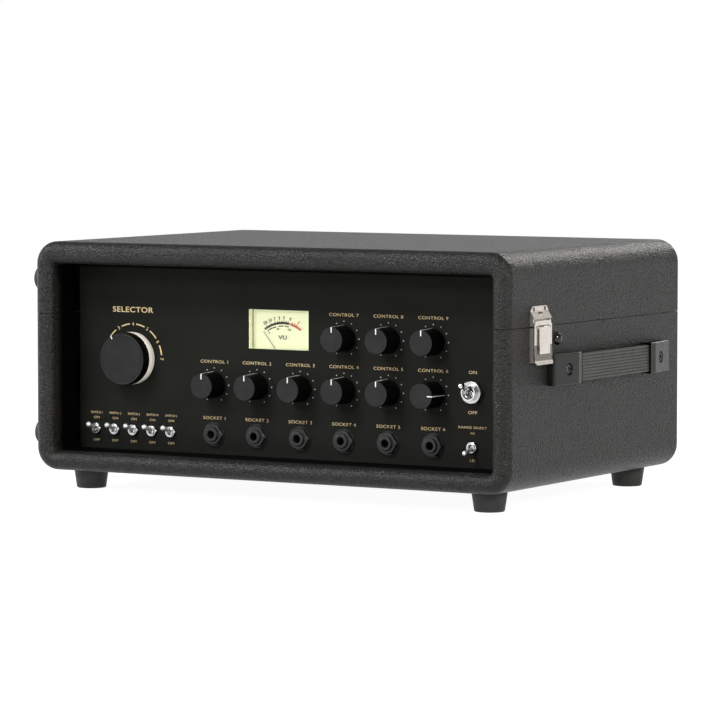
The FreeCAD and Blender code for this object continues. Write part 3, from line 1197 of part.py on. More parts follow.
# ---------------------------------------------------------------- output
def build():
    os.makedirs("parts", exist_ok=True)
    base, lid = case_halves()
    write_node("case_base", [base])
    write_node("case_lid", [lid])
    write_node("rubber_feet", feet() + side_feet(SIDE_FOOT_LOW_Z))
    write_node("lid_side_feet", side_feet(SIDE_FOOT_HIGH_Z))
    write_node("front_panel", [front_panel()])
    write_node("chassis", [chassis()])
    write_node("deck_plate", [deck_plate()])
    write_node("rear_panel", [rear_panel()])

    for i, (x, z) in enumerate(LOWER_KNOBS):
        pointer = 90.0 if i == KNOB_COLUMNS - 1 else 0.0
        write_node("knob_lower_" + str(i + 1), [knob(x, z, pointer)])
    for i, (x, z) in enumerate(UPPER_KNOBS):
        write_node("knob_upper_" + str(i + 1), [knob(x, z, 0.0)])
    pots = []
    for x, z in LOWER_KNOBS + UPPER_KNOBS:
        pots += potentiometer(x, z)
    write_node("potentiometers", pots)
    write_node("mode_knob", [mode_knob()])
    write_node("mode_ring", [mode_ring()])
    write_node("mode_switch", mode_switch())

    minis = [(x, True) for x in TOGGLE_XS] + [(RIGHT_X, False)]
    bodies = [toggle_body(x, TOGGLE_Z, MINI) for x, up in minis]
    bodies.append(toggle_body(RIGHT_X, POWER_Z, POWER))
    nuts = []
    for x, up in minis:
        nuts += toggle_nut(x, TOGGLE_Z, MINI)
    nuts += toggle_nut(RIGHT_X, POWER_Z, POWER)
    write_node("switch_bodies", bodies)
    write_node("switch_nuts", nuts)
    for i, (x, up) in enumerate(minis):
        write_node("toggle_lever_" + str(i + 1), [toggle_lever(x, TOGGLE_Z, MINI, up)])
    write_node("power_lever", [toggle_lever(RIGHT_X, POWER_Z, POWER, True)])

    write_node("jack_sockets", [jack_socket(x) for x in KNOB_XS])
    jack_nuts = []
    for x in KNOB_XS:
        jack_nuts += jack_nut(x)
    write_node("jack_nuts", jack_nuts)

    write_node("meter_case", [meter_case()])
    write_node("meter_dial", [meter_dial()])
    write_node("meter_lens", [meter_lens()])
    write_node("meter_needle", [meter_needle()])

    body = latch_body()
    lever = latch_lever()
    claw = latch_claw()
    catch = latch_catch()
    write_node("latch_bodies", [body, left_of(body)])
    write_node("latch_catches", [catch, left_of(catch)])
    write_node("latch_lever_right", [lever])
    write_node("latch_lever_left", [left_of(lever)])
    write_node("latch_claw_right", [claw])
    write_node("latch_claw_left", [left_of(claw)])

    bolt = side_bolt()
    write_node("handle_strap", [handle_strap()])
    write_node("handle_caps", [handle_cap(-1), handle_cap(1)])
    write_node("side_screws", [cap_screw(-1), cap_screw(1), bolt, left_of(bolt)])

    xs = hinge_xs()
    write_node("hinge_base_leaves", [hinge_leaf(x, -1) for x in xs] + [hinge_pin(x) for x in xs])
    write_node("hinge_lid_leaves", [hinge_leaf(x, 1) for x in xs])

    write_node("tape_tray", [tape_tray()])
    write_node("tape_cover", [tape_cover()])
    write_node("tape_loop", [tape_loop()])
    write_node("tape_heads", tape_heads())
    write_node("head_bridge", head_bridge())
    write_node("capstan_motor", [capstan_motor()])
    write_node("capstan_flywheel", [capstan_flywheel()])
    write_node("pinch_arm", [pinch_arm()])
    write_node("pinch_roller", [pinch_roller()])

    write_node("reverb_tank", reverb_tank())
    write_node("transformer", transformer())
    write_node("circuit_board", circuit_board())
    write_node("mains_inlet", [mains_inlet()])


build()
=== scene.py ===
import json
import math
import bmesh
import bpy
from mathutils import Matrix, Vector
from mathutils.geometry import tessellate_polygon


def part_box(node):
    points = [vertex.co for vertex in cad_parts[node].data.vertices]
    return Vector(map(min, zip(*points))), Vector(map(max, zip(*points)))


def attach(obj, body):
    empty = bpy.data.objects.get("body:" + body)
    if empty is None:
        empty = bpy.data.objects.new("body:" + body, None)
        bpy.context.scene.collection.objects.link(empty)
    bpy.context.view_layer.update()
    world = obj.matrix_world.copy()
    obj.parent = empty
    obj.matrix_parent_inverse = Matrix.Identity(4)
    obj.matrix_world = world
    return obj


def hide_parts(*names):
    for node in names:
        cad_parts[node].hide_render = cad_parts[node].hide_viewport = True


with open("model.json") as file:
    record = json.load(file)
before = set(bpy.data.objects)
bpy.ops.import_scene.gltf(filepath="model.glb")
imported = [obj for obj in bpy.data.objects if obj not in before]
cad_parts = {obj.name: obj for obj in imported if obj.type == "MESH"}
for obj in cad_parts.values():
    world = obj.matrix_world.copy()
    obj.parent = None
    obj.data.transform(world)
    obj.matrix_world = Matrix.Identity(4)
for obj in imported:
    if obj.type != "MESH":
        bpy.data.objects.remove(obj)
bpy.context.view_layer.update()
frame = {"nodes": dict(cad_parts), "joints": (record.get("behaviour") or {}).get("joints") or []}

# Places on the object are given in millimetres in the case's own frame: x from the middle
# of the case to the right, y back from its front and z up from its underside. at() turns
# them into the row frame's metres.
MM = 0.001
JOINTS = {joint["name"]: joint for joint in frame["joints"]}
BASE_LOW, BASE_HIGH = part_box("case_base")
ORIGIN = Vector(((BASE_LOW.x + BASE_HIGH.x) / 2, BASE_LOW.y, BASE_LOW.z))
X, Y, Z = Vector((1, 0, 0)), Vector((0, 1, 0)), Vector((0, 0, 1))
TO_FRONT = (X, Z, -Y)             # right, up and out of a face that looks forward
TO_BACK = (-X, Z, Y)
TO_RIGHT = (Y, Z, X)
TO_LEFT = (-Y, Z, -X)
TO_TOP = (X, Y, Z)
TO_FLOOR = (X, -Y, -Z)
SHARP = 35                        # degrees between faces that meet in an edge, not in a facet


def at(x, y, z):
    return ORIGIN + Vector((x, y, z)) * MM


def in_case(point):
    """The millimetres of a point of the row frame in the case's own frame."""
    return (Vector(point) - ORIGIN) / MM


def node_box(name):
    low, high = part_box(name)
    return in_case(low), in_case(high)


def joint_place(name):
    return in_case(JOINTS[name]["pos_m"])


PANEL_Y = node_box("front_panel")[0].y
CASE_HALF_W = (BASE_HIGH.x - BASE_LOW.x) / 2 / MM
CASE_BACK = node_box("case_base")[1].y
SEAM_Z = node_box("case_base")[1].z
LOWER_KNOBS = ["knob_lower_%d" % i for i in range(1, 7)]
UPPER_KNOBS = ["knob_upper_%d" % i for i in range(1, 4)]
TOGGLES = ["toggle_%d" % i for i in range(1, 7)]


# ---------------------------------------------------------------- shader nodes
def new_material(name, **shader_values):
    """A Principled material; the shader's constant values are set on its own sockets."""
    material = bpy.data.materials.new(name)
    material.use_nodes = True
    shader = material.node_tree.nodes["Principled BSDF"]
    for socket, value in shader_values.items():
        shader.inputs[socket.replace("_", " ")].default_value = value
    return material, material.node_tree, shader


def add_node(tree, kind, inputs=None, **settings):
    node = tree.nodes.new(kind)
    for key, value in settings.items():
        setattr(node, key, value)
    for key, value in (inputs or {}).items():
        if isinstance(value, bpy.types.NodeSocket):
            tree.links.new(value, node.inputs[key])
        else:
            node.inputs[key].default_value = value
    return node


def places(tree, stretch=(1, 1, 1)):
    """Coordinates in the row frame's metres, stretched along the axes."""
    coords = add_node(tree, "ShaderNodeTexCoord").outputs["Object"]
    if stretch == (1, 1, 1):
        return coords
    mapping = add_node(tree, "ShaderNodeMapping", {"Vector": coords, "Scale": stretch})
    return mapping.outputs["Vector"]


def noise(tree, coords, size, detail=3.0):
    """Noise whose blobs are about size millimetres wide."""
    texture = add_node(tree, "ShaderNodeTexNoise",
                       {"Vector": coords, "Scale": 1 / (size * MM), "Detail": detail, "Roughness": 0.55})
    return texture.outputs["Fac"]


def cells(tree, coords, size):
    """Rounded pebbles about size millimetres wide: 0 in their middles, higher between them."""
    texture = add_node(tree, "ShaderNodeTexVoronoi",
                       {"Vector": coords, "Scale": 1 / (size * MM), "Smoothness": 0.6},
                       feature="SMOOTH_F1")
    return texture.outputs["Distance"]


def spread(tree, value, low, high, start=0.3, end=0.7):
    """Turns a texture value between start and end into a number between low and high."""
    return add_node(tree, "ShaderNodeMapRange",
                    {"Value": value, "From Min": start, "From Max": end, "To Min": low, "To Max": high}
                    ).outputs["Result"]


def shades(tree, value, dark, light, start=0.3, end=0.7):
    """Turns a texture value between start and end into a colour between dark and light."""
    ramp = add_node(tree, "ShaderNodeValToRGB", {"Fac": value})
    for element, place, colour in zip(ramp.color_ramp.elements, (start, end), (dark, light)):
        element.position = place
        element.color = (*colour, 1)
    return ramp.outputs["Color"]


def bump(tree, height, depth):
    """Bump of depth millimetres between height 0 and 1."""
    inputs = {"Height": height, "Distance": depth * MM, "Strength": 1.0}
    return add_node(tree, "ShaderNodeBump", inputs).outputs["Normal"]


def math_node(tree, operation, first, second):
    return add_node(tree, "ShaderNodeMath", {0: first, 1: second}, operation=operation).outputs["Value"]


def absolute(tree, value):
    return add_node(tree, "ShaderNodeMath", {0: value}, operation="ABSOLUTE").outputs["Value"]


def component(tree, vector, axis):
    """The X, Y or Z of a vector."""
    return add_node(tree, "ShaderNodeSeparateXYZ", {"Vector": vector}).outputs[axis]


def mix_colours(tree, factor, first, second, blend="MIX"):
    mix = add_node(tree, "ShaderNodeMix", {"Factor": factor, "A": first, "B": second},
                   data_type="RGBA", blend_type=blend)
    return mix.outputs["Result"]


def recolour(material, mask, tone):
    """Puts another tone in place of a material's base colour where the mask is 1."""
    tree = material.node_tree
    base = tree.nodes["Principled BSDF"].inputs["Base Color"]
    plain = base.links[0].from_socket
    tree.links.new(mix_colours(tree, mask, plain, tone), base)


def grey(level):
    return (level, level, level)


def finish(name, dark, light, patch=14.0, rough=(0.4, 0.5), grain=0.5, depth=0.01,
           stretch=(1, 1, 1), **shader_values):
    """A worn-in surface: slow colour change, uneven gloss and fine grain."""
    material, tree, shader = new_material(name, **shader_values)
    coords = places(tree)
    colour = shades(tree, noise(tree, coords, patch), dark, light)
    tree.links.new(colour, shader.inputs["Base Color"])
    gloss = spread(tree, noise(tree, coords, patch * 0.4), rough[0], rough[1])
    tree.links.new(gloss, shader.inputs["Roughness"])
    fine = noise(tree, places(tree, stretch), grain, detail=2.0)
    tree.links.new(bump(tree, fine, depth), shader.inputs["Normal"])
    return material


# ---------------------------------------------------------------- materials
INNER_WALLS_X = node_box("chassis")[1].x + 4.0
INNER_BACK_Y = CASE_BACK - 1.5
INNER_LOW_Z, INNER_HIGH_Z = 13.5, 160.2
FRONT_ROLL_Y = (10.0, 17.0)       # the covering ends between these depths behind the rolled front
PAINTED_SHADE_Z = (96.2, 107.6)       # foot and top of the painted shade on the outer faces of the latch levers
FLAT_ON = 0.9                     # a face looks along an axis when its normal has this much of it


def inside_mask(tree):
    """Two masks: 1 on the walls of the space inside the case, and 1 behind the front panel."""
    axes = add_node(tree, "ShaderNodeSeparateXYZ", {"Vector": places(tree)})
    depth = axes.outputs[1]
    start, end = (ORIGIN.y + y * MM for y in FRONT_ROLL_Y)
    inside = spread(tree, depth, 0.0, 1.0, start, end)
    spans = ((-INNER_WALLS_X, INNER_WALLS_X), (0.0, INNER_BACK_Y), (INNER_LOW_Z, INNER_HIGH_Z))
    for axis, (low, high) in enumerate(spans):
        middle = ORIGIN[axis] + (low + high) / 2 * MM
        away = absolute(tree, math_node(tree, "SUBTRACT", axes.outputs[axis], middle))
        within = math_node(tree, "LESS_THAN", away, (high - low) / 2 * MM)
        inside = math_node(tree, "MULTIPLY", inside, within)
    panel_middle = PANEL_Y + 1.0
    behind_panel = math_node(tree, "GREATER_THAN", depth, ORIGIN.y + panel_middle * MM)
    return inside, behind_panel


def vinyl_material():
    """Black cloth pressed with a pebble grain, with painted shade in the valleys between the pebbles;
    inside the case matt black before the panel, made sheenless there as painted shade of the recess, and
    grey flock behind it."""
    pebble_size, wrinkle_size, patch_size, grain_depth = 1.35, 0.8, 60.0, 0.80
    material, tree, shader = new_material("vinyl", Specular_IOR_Level=0.195)
    coords = places(tree)
    pebble = cells(tree, coords, pebble_size)
    wrinkle = noise(tree, coords, wrinkle_size, detail=2.0)
    height = math_node(tree, "ADD", math_node(tree, "MULTIPLY", pebble, -0.75),
                       math_node(tree, "MULTIPLY", wrinkle, 0.25))
    # painted shade: pebble tops lighter, the valleys between them darker
    painted_valley_shade = shades(tree, pebble, (0.026, 0.0255, 0.0245), (0.0070, 0.0068, 0.0064), 0.15, 0.75)
    slow = shades(tree, noise(tree, coords, patch_size), grey(0.80), grey(1.0))
    covered = mix_colours(tree, 1.0, painted_valley_shade, slow, "MULTIPLY")
    inside, behind_panel = inside_mask(tree)
    # painted shade of the recess before the panel, over its matt black paint
    painted_recess_shade = shades(tree, noise(tree, coords, 3.0), grey(0.002), grey(0.004))
    flock = shades(tree, noise(tree, coords, 0.9), (0.018, 0.018, 0.019), (0.042, 0.042, 0.043))
    recess_shade_and_flock = mix_colours(tree, behind_panel, painted_recess_shade, flock)
    tree.links.new(mix_colours(tree, inside, covered, recess_shade_and_flock), shader.inputs["Base Color"])
    # metallic near black before the panel takes the sheen off the recess walls: painted shade
    before_panel = math_node(tree, "SUBTRACT", 1.0, behind_panel)
    tree.links.new(math_node(tree, "MULTIPLY", inside, before_panel), shader.inputs["Metallic"])
    gloss = spread(tree, pebble, 0.22, 0.44, 0.1, 0.8)
    gloss = math_node(tree, "MAXIMUM", gloss, math_node(tree, "MULTIPLY", inside, 0.85))
    tree.links.new(gloss, shader.inputs["Roughness"])
    tree.links.new(bump(tree, height, grain_depth), shader.inputs["Normal"])
    return material


def brushed(name, dark, light, rough, stretch=(1, 1, 1), depth=0.006):
    return finish(name, dark, light, patch=9.0, rough=rough, grain=1.6, depth=depth,
                  stretch=stretch, Metallic=1.0)


def plated(name, dark, light, rough, depth=0.004):
    return finish(name, dark, light, patch=5.0, rough=rough, grain=1.2, depth=depth, Metallic=1.0)


def plastic(name, dark, light, rough, grain=0.6, depth=0.01, specular=0.4):
    return finish(name, dark, light, patch=12.0, rough=rough, grain=grain, depth=depth,
                  Specular_IOR_Level=specular)


def nickel(name, rough):
    """Warm nickel plate of the latches and hinges."""
    return plated(name, (0.62, 0.57, 0.52), (0.74, 0.69, 0.64), rough, depth=0.01)


def lever_material():
    """Nickel of the latch levers, with painted shade below the bend: a darker patch with brushed strokes on
    their outer faces, standing for a facet that mirrors dimmer surroundings.
    """
    material = nickel("lever_nickel", (0.20, 0.32))
    tree = material.node_tree
    coords = add_node(tree, "ShaderNodeTexCoord")
    rise = component(tree, coords.outputs["Object"], "Z")
    sideways = absolute(tree, component(tree, coords.outputs["Normal"], "X"))
    low, high = (ORIGIN.z + z * MM for z in PAINTED_SHADE_Z)
    painted_shade = math_node(tree, "MULTIPLY", math_node(tree, "LESS_THAN", rise, high),
                    math_node(tree, "GREATER_THAN", rise, low))
    painted_shade = math_node(tree, "MULTIPLY", painted_shade, math_node(tree, "GREATER_THAN", sideways, FLAT_ON))
    strokes = noise(tree, places(tree, (1, 1, 0.1)), 0.5)
    # painted shade: a darker, brushed-looking tone on the outer faces below the bend
    recolour(material, painted_shade, shades(tree, strokes, (0.14, 0.13, 0.115), (0.24, 0.22, 0.195)))
    return material


def knob_material():
    """Black plastic of the knobs: deep gloss sides, and a lighter dark grey on the faces that look forward.
    """
    material = plastic("knob_plastic", grey(0.0012), grey(0.0022), (0.34, 0.44), depth=0.012, specular=0.07)
    tree = material.node_tree
    normal = add_node(tree, "ShaderNodeTexCoord").outputs["Normal"]
    face = math_node(tree, "LESS_THAN", component(tree, normal, "Y"), -FLAT_ON)
    recolour(material, face, shades(tree, noise(tree, places(tree), 9.0), grey(0.018), grey(0.0235)))
    return material


def ink(name, dark, light):
    """Screen-printed ink, a little uneven."""
    return finish(name, dark, light, patch=2.5, rough=(0.45, 0.6), grain=0.25, depth=0.006,
                  Specular_IOR_Level=0.3)


def painted_glow_print(name, colour, dim, strength):
    """Translucent print of the meter with painted light: it glows in its own colour, as if lit from behind.
    """
    material, tree, shader = new_material(name, Specular_IOR_Level=0.2, Emission_Strength=strength)
    coords = places(tree)
    tone = shades(tree, noise(tree, coords, 20.0), dim, colour)
    tree.links.new(tone, shader.inputs["Base Color"])
    # painted light: the print glows in its own colour
    tree.links.new(tone, shader.inputs["Emission Color"])
    tree.links.new(spread(tree, noise(tree, coords, 4.0), 0.5, 0.65), shader.inputs["Roughness"])
    tree.links.new(bump(tree, noise(tree, coords, 0.3), 0.004), shader.inputs["Normal"])
    return material


def clear(name, tint, rough, strength):
    """Thin clear plastic with gloss on its faces; strength is its see-through share head-on."""
    index = 1.46
    material, tree, shader = new_material(name, IOR=index, Roughness=rough, Transmission_Weight=1.0)
    coords = places(tree)
    tree.links.new(shades(tree, noise(tree, coords, 30.0), tint, grey(1.0)), shader.inputs["Base Color"])
    scratch = noise(tree, places(tree, (1, 1, 6)), 1.5)
    tree.links.new(bump(tree, scratch, 0.002), shader.inputs["Normal"])
    see_through = add_node(tree, "ShaderNodeBsdfTransparent", {"Color": (0.97, 0.98, 0.97, 1)})
    fresnel = add_node(tree, "ShaderNodeFresnel", {"IOR": index})
    factor = spread(tree, fresnel.outputs["Fac"], 1 - strength, 1.0, 0.03, 0.9)
    mix = add_node(tree, "ShaderNodeMixShader", {"Fac": factor})
    tree.links.new(see_through.outputs["BSDF"], mix.inputs[1])
    tree.links.new(shader.outputs["BSDF"], mix.inputs[2])
    tree.links.new(mix.outputs["Shader"], tree.nodes["Material Output"].inputs["Surface"])
    return material


MATERIALS = {
    "vinyl": vinyl_material(),
    "panel": finish("panel_paint", (0.0110, 0.0113, 0.0095), (0.0130, 0.0133, 0.0112), patch=50.0,
                    rough=(0.42, 0.5), grain=0.35, depth=0.004, Specular_IOR_Level=0.04),
    "knob": knob_material(),
    "jack": plastic("jack_plastic", grey(0.010), grey(0.015), (0.28, 0.40)),
    "black_plastic": plastic("black_plastic", (0.007, 0.007, 0.0066), (0.012, 0.012, 0.0114),
                             (0.26, 0.36), specular=0.27),
    "strap": plastic("strap_rubber", (0.036, 0.036, 0.033), (0.050, 0.050, 0.046), (0.42, 0.55),
                     grain=0.5, depth=0.03),
    "rubber": plastic("foot_rubber", grey(0.018), grey(0.027), (0.5, 0.66),
                      grain=0.7, depth=0.02, specular=0.35),
    "cream_line": ink("cream_line", (0.30, 0.28, 0.24), (0.38, 0.36, 0.31)),
    "cream": plastic("cream_plastic", (0.93, 0.885, 0.80), (0.95, 0.91, 0.83), (0.42, 0.50),
                     grain=1.4, depth=0.0003),
    "gloss_black": plastic("gloss_black", grey(0.003), grey(0.006), (0.03, 0.08), specular=0.5),
    "chrome": plated("chrome", (0.60, 0.60, 0.61), (0.70, 0.70, 0.71), (0.08, 0.17)),
    "nut_chrome": plated("nut_chrome", grey(0.60), grey(0.70), (0.24, 0.32)),
    "satin_chrome": plated("satin_chrome", grey(0.66), grey(0.76), (0.50, 0.58)),
    "nickel": nickel("nickel", (0.20, 0.32)),
    "satin_nickel": nickel("satin_nickel", (0.42, 0.50)),
    "lever_nickel": lever_material(),
    "steel": brushed("turned_steel", grey(0.52), grey(0.62), (0.22, 0.34), (1, 1, 8)),
    "sheet": brushed("zinc_sheet", (0.42, 0.43, 0.44), (0.54, 0.55, 0.56), (0.34, 0.48), depth=0.01),
    "aluminium": brushed("brushed_aluminium", (0.55, 0.55, 0.56), (0.66, 0.66, 0.67), (0.30, 0.40),
                         (0.05, 1, 1)),
    "pot": brushed("pot_can", (0.50, 0.50, 0.48), (0.60, 0.60, 0.57), (0.30, 0.42)),
    "head": plated("head_metal", (0.58, 0.56, 0.53), (0.68, 0.66, 0.62), (0.16, 0.24)),
    "motor": plastic("motor_paint", (0.060, 0.063, 0.066), (0.085, 0.088, 0.092), (0.35, 0.48)),
    "tape": plastic("tape_oxide", (0.10, 0.045, 0.022), (0.14, 0.065, 0.034), (0.22, 0.3),
                    depth=0.002),
    "tray": plastic("tray_plastic", (0.085, 0.088, 0.092), (0.115, 0.118, 0.122), (0.38, 0.5),
                    depth=0.015),
    "iron": plastic("core_iron", (0.030, 0.027, 0.024), (0.060, 0.052, 0.045), (0.4, 0.6),
                    grain=0.5, depth=0.03),
    "board": plastic("board_green", (0.012, 0.075, 0.030), (0.020, 0.105, 0.045), (0.3, 0.42)),
    "needle": plastic("needle_grey", (0.30, 0.30, 0.26), (0.40, 0.40, 0.35), (0.35, 0.45)),
    "gold": ink("gold_ink", (0.60, 0.46, 0.24), (0.74, 0.57, 0.32)),
    "white": ink("white_ink", (0.78, 0.78, 0.76), (0.88, 0.88, 0.86)),
    "grey_dot": ink("grey_ink", (0.40, 0.40, 0.38), (0.52, 0.52, 0.50)),
    # the dial's print glows: painted light
    "dial": painted_glow_print("dial_print", (0.89, 0.89, 0.62), (0.86, 0.86, 0.60), 0.22),
    "dial_black": ink("dial_black", grey(0.012), grey(0.022)),
    "dial_grey": ink("dial_grey", (0.025, 0.025, 0.022), (0.045, 0.045, 0.042)),
    "dial_red": ink("dial_red", (0.62, 0.045, 0.030), (0.74, 0.075, 0.045)),
    "lens": clear("meter_glass", (0.97, 0.98, 0.97), 0.02, strength=0.93),
    "cover": clear("clear_acrylic", (0.93, 0.96, 0.96), 0.05, strength=0.88),
    "dark_metal": plated("dark_metal", grey(0.10), grey(0.16), (0.25, 0.36)),
}


# ---------------------------------------------------------------- CAD nodes
NODE_MATERIALS = {
    "case_base": "vinyl", "case_lid": "vinyl", "rubber_feet": "rubber", "lid_side_feet": "rubber",
    "front_panel": "panel", "rear_panel": "panel", "chassis": "panel", "deck_plate": "aluminium",
    "handle_caps": "black_plastic", "side_screws": "gloss_black",
    "latch_bodies": "satin_nickel", "latch_catches": "satin_nickel", "latch_lever_right": "lever_nickel",
    "latch_lever_left": "lever_nickel", "latch_claw_right": "nickel", "latch_claw_left": "nickel",
    "hinge_base_leaves": "nickel", "hinge_lid_leaves": "nickel",
    "switch_bodies": "chrome", "switch_nuts": "nut_chrome", "power_lever": "chrome",
    "jack_sockets": "jack", "jack_nuts": "jack", "potentiometers": "pot", "mode_switch": "pot",
    "mode_knob": "knob", "mode_ring": "cream",
    "meter_case": "jack", "meter_dial": "dial", "meter_lens": "lens", "meter_needle": "needle",
    "handle_strap": "strap",
    "tape_tray": "tray", "tape_cover": "cover", "tape_loop": "tape", "tape_heads": "head",
    "head_bridge": "aluminium", "capstan_motor": "motor", "capstan_flywheel": "steel",
    "pinch_arm": "steel", "pinch_roller": "rubber", "reverb_tank": "sheet",
    "transformer": "iron", "circuit_board": "board", "mains_inlet": "jack",
}
NODE_MATERIALS.update({name: "knob" for name in LOWER_KNOBS + UPPER_KNOBS})
NODE_MATERIALS.update({name.replace("toggle_", "toggle_lever_"): "satin_chrome" for name in TOGGLES})

SOFT_EDGES = {                    # width of the softened edges by material, mm
    "knob": 0.2, "jack": 0.2, "black_plastic": 1.1, "cream": 0.2, "chrome": 0.12, "nickel": 0.16,
    "lever_nickel": 0.16, "satin_nickel": 0.16, "satin_chrome": 0.1, "nut_chrome": 0.12,
    "steel": 0.2, "head": 0.2, "gloss_black": 0.12, "sheet": 0.2, "aluminium": 0.15,
    "panel": 0.2, "rubber": 0.2, "motor": 0.3, "iron": 0.3,
}


def soften_edges(piece, width, rounded):
    """Small bevels that catch the light on edges sharper than the facets of round faces. Rounded
    parts get one step more on all their edges, once the facets of flat faces are joined."""
    weld = piece.modifiers.new("weld", "WELD")
    weld.merge_threshold = 0.002 * MM
    if rounded:
        flat = piece.modifiers.new("flat", "DECIMATE")
        flat.decimate_type = "DISSOLVE"
        flat.angle_limit = math.radians(0.5)
    bevel = piece.modifiers.new("bevel", "BEVEL")
    bevel.width = width * MM
    bevel.segments = 3 if rounded else 2
    bevel.limit_method = "ANGLE"
    bevel.angle_limit = math.radians(15 if rounded else SHARP)
    bevel.harden_normals = True
    bevel.use_clamp_overlap = not rounded


def dress_nodes():
    """Gives each CAD node its material and the soft edges that go with it."""
    for name, node in frame["nodes"].items():
        kind = NODE_MATERIALS[name]
        for slot in node.material_slots:
            slot.material = MATERIALS[kind]
        if kind in SOFT_EDGES:
            soften_edges(node, SOFT_EDGES[kind], rounded=name == "handle_caps")


# ---------------------------------------------------------------- mesh building
class Shape:
    """Gathers closed solids, in row-frame metres, for one piece of the scene."""

    def __init__(self):
        self.points = []
        self.faces = []

    def add(self, points, faces):
        first = len(self.points)
        self.points += [Vector(p) for p in points]
        self.faces += [[first + i for i in face] for face in faces]

    def piece(self, name, material, body, slot, smooth=True):
        mesh = bpy.data.meshes.new(name)
        mesh.from_pydata(self.points, [], self.faces)
        mesh.materials.append(MATERIALS[material])
        edit = bmesh.new()
        edit.from_mesh(mesh)
        bmesh.ops.remove_doubles(edit, verts=edit.verts, dist=0.001 * MM)
        bmesh.ops.recalc_face_normals(edit, faces=edit.faces)
        for face in edit.faces:
            face.smooth = smooth
        for edge in edit.edges:
            if len(edge.link_faces) == 2 and edge.calc_face_angle(0) > math.radians(SHARP):
                edge.smooth = False
        edit.to_mesh(mesh)
        edit.free()
        obj = bpy.data.objects.new(name, mesh)
        bpy.context.scene.collection.objects.link(obj)
        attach(obj, body)
        return obj


def clockwise(facing, angle):
    """Direction in a face at a clockwise angle from straight up, in degrees."""
    right, up, _ = facing
    turn = math.radians(angle)
    return right * math.sin(turn) + up * math.cos(turn)


def loft_faces(sections, count):
    """Faces of a closed rod through a row of sections of count points each."""
    faces = []
    for first in range(0, (sections - 1) * count, count):
        for k in range(count):
            a, b = first + k, first + (k + 1) % count
            faces.append([a, b, b + count, a + count])
    last = (sections - 1) * count
    return faces + [list(range(count)), [last + k for k in reversed(range(count))]]


def lathe(shape, centre, facing, profile, steps):
    """Solid of revolution of a closed profile of (radius, height), clear of the axis."""
    points = [centre + (clockwise(facing, 360 * i / steps) * radius + facing[2] * height) * MM
              for radius, height in profile for i in range(steps)]
    faces = []
    for k in range(len(profile)):
        low, high = k * steps, (k + 1) % len(profile) * steps
        for i in range(steps):
            j = (i + 1) % steps
            faces.append([low + i, low + j, high + j, high + i])
    shape.add(points, faces)


def hoop(shape, centre, facing, inner_r, outer_r, low, high):
    """Fine flat-sided ring."""
    lathe(shape, centre, facing,
          [(inner_r, high), (outer_r, high), (outer_r, low), (inner_r, low)], steps=96)


def slab(shape, centre, facing, outline, low, high, hole=None):
    """Plate of an outline of (right, up) millimetres, between two heights, with one hole or none."""
    right, up, out = facing
    loops = [outline] + ([hole] if hole else [])
    flat = [[Vector((a, b, 0)) for a, b in loop] for loop in loops]
    corners = [corner for loop in loops for corner in loop]
    count = len(corners)
    points = [centre + (right * a + up * b + out * h) * MM for h in (low, high) for a, b in corners]
    triangles = tessellate_polygon(flat)
    faces = [list(t) for t in triangles] + [[i + count for i in t] for t in triangles]
    first = 0
    for loop in loops:
        for i in range(len(loop)):
            j = (i + 1) % len(loop)
            faces.append([first + i, first + j, first + j + count, first + i + count])
        first += len(loop)
    shape.add(points, faces)


def circle(radius, steps=24):
    turns = [math.tau * i / steps for i in range(steps)]
    return [(radius * math.sin(turn), radius * math.cos(turn)) for turn in turns]


def cross_outline(reach, width):
    """Outline of a cross: twelve corners around the middle."""
    corners = []
    for k in range(4):
        turn = math.radians(90 * k)
        c, s = math.cos(turn), math.sin(turn)
        for a, b in ((width, reach), (-width, reach), (-width, width)):
            corners.append((a * c - b * s, a * s + b * c))
    return corners


def screw(shape, centre, facing, radius, height):
    """Round screw head with a real cross recess, sunk a little into what it holds."""
    top_r, shoulder_r = radius * 0.72, radius * 0.88
    waist, shoulder, sunk = height * 0.45, height * 0.86, -0.05
    cross = cross_outline(radius * 0.55, radius * 0.13)
    slab(shape, centre, facing, circle(top_r), waist, height, hole=cross)
    slab(shape, centre, facing, circle(top_r), sunk, waist)
    inner_r = top_r - 0.01
    lathe(shape, centre, facing, [(inner_r, height - 0.001), (shoulder_r, shoulder), (radius, waist),
                                  (radius, sunk), (inner_r, sunk)], steps=24)


def arc_band(shape, centre, facing, radius, width, start, end, low, high):
    """Flat curved band between two clockwise angles from straight up, in degrees."""
    steps = max(3, int(abs(end - start) / 3))
    points = []
    for i in range(steps + 1):
        flat = clockwise(facing, start + (end - start) * i / steps)
        for r, h in ((radius - width / 2, low), (radius + width / 2, low),
                     (radius + width / 2, high), (radius - width / 2, high)):
            points.append(centre + (flat * r + facing[2] * h) * MM)
    shape.add(points, loft_faces(steps + 1, 4))


def radial_bar(shape, centre, facing, angle, r0, r1, width, low, high):
    """Straight bar that points outward at a clockwise angle from straight up."""
    turn = math.radians(angle)
    a, b = math.sin(turn), math.cos(turn)
    corners = [(r * a + s * width / 2 * b, r * b - s * width / 2 * a)
               for r, s in ((r0, -1), (r0, 1), (r1, 1), (r1, -1))]
    slab(shape, centre, facing, corners, low, high)


